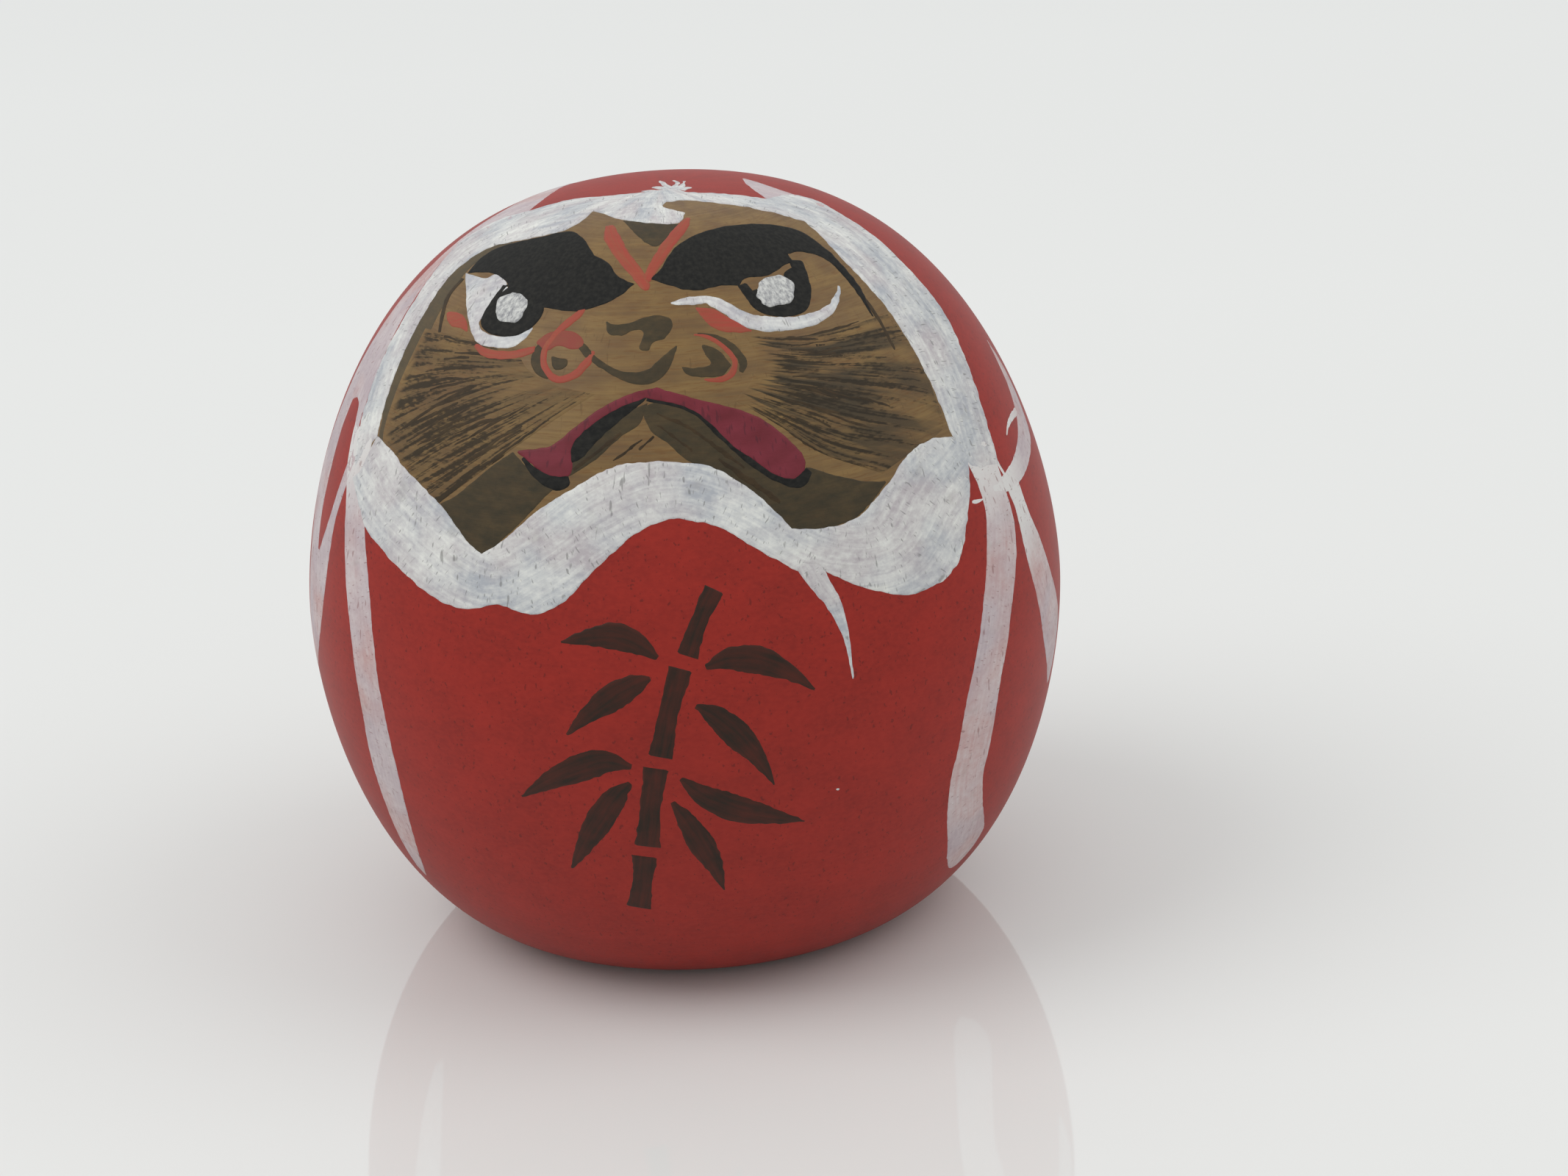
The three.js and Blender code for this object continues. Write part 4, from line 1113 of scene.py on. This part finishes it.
def add_red_accents():
    curl = [
        (-4.6, 10, 0.2), (-5, 9.2, 0.55), (-6, 8.4, 0.6), (-6.8, 7.6, 0.5), (-7.3, 6.8, 0.5),
        (-7.3, 5.7, 0.5),
    ]
    curl += [(-6.6, 4.8, 0.55), (-5.5, 4.9, 0.6), (-4.7, 5.6, 0.6), (-4.2, 6.4, 0.2)]
    line = stroke(face, curl, RED_ACCENT, name="curl_left")
    spot = [(-7.8, 7.5), (-6.9, 8.1), (-5.7, 8), (-5, 7.5), (-4.8, 6.8), (-5.5, 6.6), (-6.4, 7), (-7.2, 6.8)]
    patch = film(face, loop(spot), RED_ACCENT - 0.002, name="patch")
    add_piece("nostril_tint_left", [patch], red_over_ink, "bright_red_paint")
    lay("nostril_curl_left", bright_red, "bright_red_paint", line)
    curl = [
        (1.8, 7, 0.1), (2.8, 6.8, 0.35), (3.7, 6.1, 0.4), (4.3, 5.2, 0.4), (4, 4.3, 0.45),
        (3.2, 3.95, 0.4),
    ]
    curl += [(2.3, 4, 0.1)]
    line = stroke(face, curl, RED_ACCENT, name="curl_right")
    lay("nostril_curl_right", bright_red, "bright_red_paint", line)
    left = [
        (-3.2, 16.3, 0.5), (-3, 15, 1.1), (-2.3, 13.2, 1), (-1.5, 11.8, 0.9), (-1, 10.7, 0.7),
        (-0.9, 10.3, 0.2),
    ]
    right = [(1.8, 16.6, 0.3), (1.3, 15.5, 0.9), (0.5, 14, 0.9), (-0.3, 12.4, 0.8), (-0.9, 11, 0.5)]
    for node, path in (("forehead_stroke_left", left), ("forehead_stroke_right", right)):
        lay(node, bright_red, "bright_red_paint", stroke(face, path, FOREHEAD_STROKE, name=node))
    low = [(-11.8, 8.4, 0.2), (-11.1, 7.6, 0.7), (-10, 7.1, 0.75), (-8.9, 6.95, 0.7), (-7.8, 7.1, 0.5)]
    high = [(-13.7, 11.4), (-12.9, 11.2), (-12.3, 10.4), (-12.2, 9.4), (-12.7, 9.8), (-13.4, 10.3)]
    line = stroke(face, low, RED_ACCENT, name="cheek")
    patch = film(face, loop(high), RED_ACCENT, name="cheek_patch")
    lay("cheek_accent_left", bright_red, "bright_red_paint", line, patch)
    top = [(1.9, 9), (3.2, 8.8), (4.2, 8.1), (5.6, 7.2)]
    low = [(5.6, 7.2), (4.1, 7.1), (3, 7.5), (2.4, 8.2), (1.9, 9)]
    accent = film(face, outline(top, low), RED_ACCENT, name="accent")
    lay("eye_accent_right", bright_red, "bright_red_paint", accent)


def add_mouth():
    top_left = [(-9.3, 0.7), (-8, 0.6), (-6.9, 0.7), (-5.4, 1.7), (-3.7, 2.7), (-2.2, 3.3), (-0.5, 3.6)]
    top_right = [(-0.5, 3.6), (1.8, 2.8), (4.6, 2), (6.2, 1.2), (7.5, 0.1), (8.2, -0.8), (8.2, -1.6)]
    low_right = [
        (8.2, -1.6), (7.5, -2.2), (6.4, -2), (5.1, -1.1), (3.9, -0.3), (2.8, 0.9), (1.4, 2.1),
        (-1.1, 2.9),
    ]
    low_left = [
        (-1.1, 2.9), (-3, 2.3), (-4.9, 1.2), (-5.7, 0.3), (-5.8, -1), (-6.2, -1.4), (-7.5, -1.1),
        (-9.3, 0.7),
    ]
    lip = film(face, outline(top_left, top_right, low_right, low_left), LIP, name="lip")
    lay("lip", crimson, "crimson_paint", lip)
    left = [
        (-0.9, 3.1), (-2.1, 2.9), (-3.9, 2.1), (-5.6, 0.9), (-6.1, -0.5), (-5.3, -0.5),
        (-3.8, 0.8), (-2.2, 2),
    ]
    right = [
        (-1.2, 2.9, 0.2), (1.6, 2, 0.4), (3.2, 0.5, 0.55), (5, -1.2, 0.5), (6.6, -2.2, 0.5),
        (7.8, -2.3, 0.9), (8.5, -1.5, 0.5),
    ]
    end = [(-8.9, 0.2, 0.2), (-8, -1, 0.7), (-6.8, -1.6, 1.3), (-6, -1.5, 0.9)]
    left_line = film(face, outline(left, [(-2.2, 2), (-0.9, 3.1)]), BROW_INK, name="mouth")
    right_line = stroke(face, right, BROW_INK, name="mouth_right")
    corner = stroke(face, end, BROW_INK, name="mouth_end")
    lay("mouth_line", black_ink, "black_ink", left_line, right_line, corner)


def add_washes():
    left = [(-14.3, -1.5), (-13.1, -1.2), (-11.8, -0.5), (-10.5, 0.2), (-9.4, 0.7)]
    middle = [(-9.4, 0.7), (-8.4, -0.7), (-7.5, -1.5), (-6.1, -1.6)]
    low = [(-6.1, -1.6), (-7.3, -2.3), (-8.3, -3.1), (-9.6, -4.1), (-11.7, -5.2), (-12.8, -4)]
    beard = film(face, outline(left, middle, low, [(-12.8, -4), (-14.3, -1.5)]), WASH, name="beard_left")
    under = [
        (-1, 2.7), (-2.4, 2.2), (-4, 1), (-5.6, -0.3), (-6.3, -1.5), (-4.6, -0.8), (-3.4, 0.1),
        (-2.3, 0.9),
    ]
    chin = film(face, outline(under, [(-2.3, 0.9), (-1.5, 1.4), (-1, 2.7)]), WASH + 0.002, name="chin_left")
    lay("beard_wash_left", olive_wash, "olive_wash", beard, chin)
    top = [(-1.6, 2.4), (-0.4, 2.7), (1, 2.5), (2.4, 1.5), (3.6, 0.4), (4.9, -0.8), (6.3, -1.7), (7.9, -2)]
    cheek = [(7.9, -2), (8.3, -1.4), (9.9, -1.7), (11.6, -1.9), (13.3, -1.7)]
    low = [(13.3, -1.7), (12.1, -3.3), (11.1, -4.3), (9.4, -5), (7.2, -5.3), (5.6, -4)]
    chin_line = [(5.6, -4), (3.6, -2.4), (2.2, -1.7), (0.9, -0.9), (0, 0), (-1, 0.9), (-1.6, 2.4)]
    beard = film(face, outline(top, cheek, low, chin_line), WASH, name="beard_right")
    lay("beard_wash_right", olive_wash, "olive_wash", beard)
    patch = [(-2.5, 16.8), (1.3, 15.9)]
    sides = [(1.3, 15.9), (0.6, 14.8), (-0.1, 13.9), (-0.7, 14), (-1.4, 14.9), (-2.5, 16.8)]
    forehead = film(face, outline(patch, sides), WASH, name="forehead")
    strip = [
        (-18.4, 4), (-17.9, 6.5), (-16.6, 9.8), (-14.9, 13.2), (-13.8, 14.8), (-12.3, 15.9),
        (-9.4, 16.5),
    ]
    strip_inner = [
        (-9.4, 16.5), (-9.6, 15.7), (-11.5, 15.2), (-12.6, 14.2), (-13.8, 12.3), (-15.1, 9.6),
        (-16.1, 7.6),
    ]
    strip_low = [(-16.1, 7.6), (-17, 4.6), (-17.4, 3)]
    temple = film(face, outline(strip, strip_inner, strip_low, [(-17.4, 3), (-18.4, 4)]), WASH, name="temple")
    lay("forehead_wash", olive_wash, "olive_wash", forehead)
    lay("temple_wash", pale_wash, "olive_wash", temple)


# ---- whiskers ----


def whisker_set(name, lines, count, widest, random):
    """Fine dry strokes spread over the lines, each its own tapered mark."""
    rows, columns = WHISKER_GRID
    grid = lattice(lines, rows, columns)
    skins = []
    for number in range(count):
        share = (number + random.uniform(0.1, 0.9)) / count
        drift = random.uniform(-0.05, 0.05)
        shares = np.clip(share + drift * np.linspace(-1, 1, rows), 0, 1)
        line = grid[np.arange(rows), (shares * (columns - 1)).astype(int)]
        start = int(random.uniform(0, 8))
        picked = line[start : int(random.uniform(15, 25)) : 3]
        widths = widest * random.uniform(0.4, 1) * np.sin(np.linspace(0.3, 2.95, len(picked)))
        path = np.column_stack([picked + random.normal(0, 0.05, picked.shape), widths])
        mark = stroke(face, path, WHISKER, rough=0.16, across_steps=3, name=f"{name}{number}", step=0.24)
        skins.append(mark)
    return skins


def chin_lines(name, paths):
    lines = []
    for number, path in enumerate(paths):
        lines.append(stroke(face, path, WHISKER, rough=0.08, name=f"{name}{number}"))
    return lines


LEFT_CHEEK = (
    [(-15.1, 10.9), (-13, 9.4), (-10.7, 8), (-9, 7.3)],
    [(-16.2, 8.8), (-13, 7.6), (-10.5, 6.7), (-8.6, 6.2)],
    [(-17.3, 6.5), (-13.5, 6.2), (-10.5, 5.8), (-8.2, 5.6)],
    [(-18.1, 3.9), (-14, 4.5), (-11, 4.9), (-7.6, 5.1)],
    [(-17.3, 2), (-13.5, 2.9), (-10, 3.6), (-6.6, 4.4)],
    [(-16.3, 0.2), (-12.5, 1.3), (-9, 2.4), (-5.4, 3.9)],
    [(-14.9, -1.8), (-11.8, -0.4), (-9.2, 0.9), (-4.2, 3.5)],
)
RIGHT_CHEEK = (
    [(4.9, 7), (8, 7), (10.8, 7.9), (13.9, 9.6)],
    [(5.3, 6.3), (8.5, 6.2), (11.5, 6.9), (14.9, 8.2)],
    [(5.6, 5.4), (9, 5.3), (12.5, 5.8), (15.9, 6.4)],
    [(5.4, 4.4), (9, 4.2), (12.5, 4.2), (16.6, 4.3)],
    [(5, 3.6), (8.5, 2.9), (12, 2.3), (17, 2.4)],
    [(4.5, 3), (7.5, 1.7), (11, 0.6), (15.2, 0.6)],
    [(4.2, 2.6), (6.5, 1.3), (9.2, -0.5), (12.9, -1.4)],
)


def add_cheek_brushwork():
    for hand, lines, ink in (("left", LEFT_CHEEK, dry_ink_left), ("right", RIGHT_CHEEK, dry_ink_right)):
        nodes = [f"cheek_stroke_{hand}_{number + 1}" for number in range(CHEEK_STROKES)]
        add_piece(f"cheek_brushwork_{hand}", [fan(face, lines, BRUSHWORK)], ink, "olive_wash", *nodes)


def add_left_whiskers(random):
    skins = whisker_set("wl", LEFT_CHEEK, 30, 0.5, random)
    long_left = [(-17.2, 3.9, 0.3), (-14, 4.9, 0.35), (-11.4, 5.4, 0.3), (-8, 5.3, 0.08)]
    skins.append(stroke(face, long_left, WHISKER, name="long_left"))
    sideburn = [(-12.6, 14, 0.5), (-13.6, 12.8, 0.5), (-14, 11, 0.4), (-14.3, 8.2, 0.12)]
    skins.append(stroke(face, sideburn, WHISKER, name="sideburn_left"))
    chin = (
        [(-3.4, -0.8, 0.15), (-2.4, -0.2, 0.22), (-1.4, 0.4, 0.1)],
        [(-1.8, -0.3, 0.12), (-1.2, 0.2, 0.2), (-0.7, 0.6, 0.1)],
        [(-5.9, -1.1, 0.3), (-4.4, -0.2, 0.3), (-3, 0.7, 0.3), (-1.8, 1.6, 0.12)],
    )
    add_piece("whiskers_left", skins + chin_lines("chin_left", chin), whisker_ink, "olive_wash")


def add_right_whiskers(random):
    skins = whisker_set("wr", RIGHT_CHEEK, 34, 0.42, random)
    outer = [line[1:] for line in RIGHT_CHEEK]
    skins += whisker_set("wo", outer, 20, 0.3, random)
    sideburn = [(12.2, 11, 0.3), (13.2, 9.2, 0.4), (14, 7.4, 0.35), (14.8, 5.4, 0.08)]
    skins.append(stroke(face, sideburn, WHISKER, name="sideburn_right"))
    chin = (
        [(-0.7, 2, 0.2), (1.3, 1, 0.3), (3.3, -0.6, 0.35), (4.9, -1.8, 0.15)],
        [(2.9, -0.9, 0.2), (4.4, -2, 0.5), (5.8, -3, 0.45), (6.8, -3.7, 0.15)],
        [(-0.9, 1.5, 0.15), (0.2, 0.6, 0.25), (1.6, -0.6, 0.2)],
    )
    add_piece("whiskers_right", skins + chin_lines("chin_right", chin), whisker_ink, "olive_wash")


# ---- the painted sprig ----


def add_bamboo():
    """A bamboo sprig brushed on the belly: jointed stem, then tapering leaves."""
    stems = (
        [(-3.6, -15.6, 1.9), (-3.2, -13.4, 1.5), (-2.9, -11.2, 1.9)],
        [(-2.7, -10.6, 1.9), (-2.3, -7.6, 1.5), (-1.8, -4.8, 1.9)],
        [(-1.5, -4.2, 1.8), (-0.8, -1.2, 1.4), (0.1, 1.6, 1.8)],
        [(0.5, 2.2, 1.6), (1.3, 4.2, 1.2), (2.4, 6.2, 1.5)],
    )
    leaves = (
        [(-3.2, -4.8, 0.3), (-4.8, -4.4, 1.8), (-6.6, -5, 2.2), (-8.6, -6.1, 1.3), (-10.4, -7.4, 0.08)],
        [(-3.4, -5.8, 0.3), (-4.4, -6.9, 1.7), (-5.5, -8.6, 2.1), (-6.6, -10.6, 1.3), (-7.6, -12.6, 0.08)],
        [(-1.2, 2.2, 0.3), (-2.4, 3.1, 1.6), (-3.8, 3.6, 2), (-5.4, 3.5, 1.2), (-7.2, 3.1, 0.08)],
        [(-1.7, 1, 0.3), (-2.8, 0.6, 1.6), (-4.2, -0.2, 2), (-5.8, -1.4, 1.2), (-7.2, -2.8, 0.08)],
        [(1.5, 1.5, 0.3), (3, 1.9, 1.6), (4.8, 1.6, 2.1), (6.6, 0.6, 1.2), (8.2, -0.8, 0.08)],
        [(0.8, -0.8, 0.3), (2, -1.6, 1.6), (3.3, -3, 2.1), (4.5, -4.8, 1.2), (5.4, -6.8, 0.08)],
        [(-0.4, -5.6, 0.3), (1, -6.9, 1.7), (2.8, -8, 2.3), (5, -8.9, 1.4), (7.2, -9.7, 0.08)],
        [(-1, -7.2, 0.3), (-0.1, -8.8, 1.5), (0.7, -10.6, 2), (1.4, -12.4, 1.2), (1.9, -14.4, 0.08)],
    )
    for kind, paths in (("stem", stems), ("leaf", leaves)):
        for number, path in enumerate(paths, start=1):
            node = f"bamboo_{kind}_{number}"
            line = stroke(belly, path, ROBE_LINE, ROBE_BASE, rough=0.05, name=node)
            lay(node, brown_ink, "brown_ink", line)


def add_belly_marks():
    """A white nick and two stray dots of trim paint on the belly."""
    nick = ((9.2, -7.8, 0.2), (8.9, -7.5, 0.12), (9.5, -8.3, 0.12), (9.6, -7.7, 0.1))
    stray = ((-6.4, -4.1, 0.1), (-8.5, -9, 0.1))
    skins = []
    for number, (across, up, size) in enumerate(nick + stray):
        turns = np.linspace(0, 2 * math.pi, 7, endpoint=False)
        ring = np.column_stack([across + size * np.cos(turns), up + 0.8 * size * np.sin(turns)])
        skins.append(film(belly, loop(ring), ROBE_LINE, ROBE_BASE, rough=0.06, name=f"nick{number}"))
    add_piece("belly_nick_marks", skins, trim_white, "white_paint")


add_wood_body()
add_red_coat()
add_hood_band()
add_collar_band()
add_left_robe_lines()
add_right_robe_lines()
add_left_crown_line()
add_right_crown_line()
add_brows()
add_left_eye()
add_right_eye()
add_nose()
add_red_accents()
add_mouth()
add_washes()
add_cheek_brushwork()
whisker_random = random_for("whiskers")
add_left_whiskers(whisker_random)
add_right_whiskers(whisker_random)
add_bamboo()
add_belly_marks()


# ---- floor, light and camera ----


def make_floor():
    """Glossy white board: pale, with a faint soft reflection of the doll."""
    material, tree = new_material("white_laminate_board")
    surface = tree.nodes["Principled BSDF"]
    surface.inputs["Base Color"].default_value = colour("#E4E4E2")
    surface.inputs["Roughness"].default_value = 0.04
    surface.inputs["IOR"].default_value = 1.5
    surface.inputs["Specular IOR Level"].default_value = 0.9
    mesh = bpy.data.meshes.new("floor")
    near, far, wide = -1.2, 3.0, 2.5
    corners = [(-wide, near, 0), (wide, near, 0), (wide, far, 0), (-wide, far, 0)]
    mesh.from_pydata(corners, [], [(0, 1, 2, 3)])
    mesh.materials.append(material)
    floor = bpy.data.objects.new("floor", mesh)
    bpy.context.scene.collection.objects.link(floor)


def add_light(name, place, size, power):
    light = bpy.data.lights.new(name, "AREA")
    light.shape = "DISK"
    light.size = size
    light.energy = power
    lamp = bpy.data.objects.new(name, light)
    lamp.location = place
    lamp.rotation_euler = (Vector((0, 0, 0.02)) - lamp.location).to_track_quat("-Z", "Y").to_euler()
    bpy.context.scene.collection.objects.link(lamp)


def add_camera():
    """Seen from the front, 20 degrees above the floor, with a slight roll."""
    distance = 0.24
    rise = math.radians(20)
    roll = math.radians(3)
    away = Vector((0, -math.cos(rise), math.sin(rise)))
    straight_up = Vector((0, math.sin(rise), math.cos(rise)))
    right = Vector((1, 0, 0)) * math.cos(roll) - straight_up * math.sin(roll)
    upward = straight_up * math.cos(roll) + Vector((1, 0, 0)) * math.sin(roll)
    aim = Vector((6.55, 0, 21.33)) * MM
    camera = bpy.data.cameras.new("camera")
    camera.sensor_width = 36
    camera.lens = 82.1
    camera.clip_start = 0.01
    view = bpy.data.objects.new("camera", camera)
    matrix = Matrix((right, upward, away)).transposed().to_4x4()
    matrix.translation = aim + away * distance
    view.matrix_world = matrix
    bpy.context.scene.collection.objects.link(view)
    bpy.context.scene.camera = view


def add_room():
    world = bpy.data.worlds.new("room")
    world.use_nodes = True
    background = world.node_tree.nodes["Background"]
    background.inputs["Color"].default_value = colour("#F2F4F4")
    background.inputs["Strength"].default_value = 0.83
    bpy.context.scene.world = world


make_floor()
add_light("window_left", (-1.7, -0.4, 2.1), 2.0, 24.0)
add_light("window_right", (1.8, -0.2, 2.0), 2.0, 12.0)
add_room()
add_camera()
bpy.context.scene.view_settings.view_transform = "Standard"
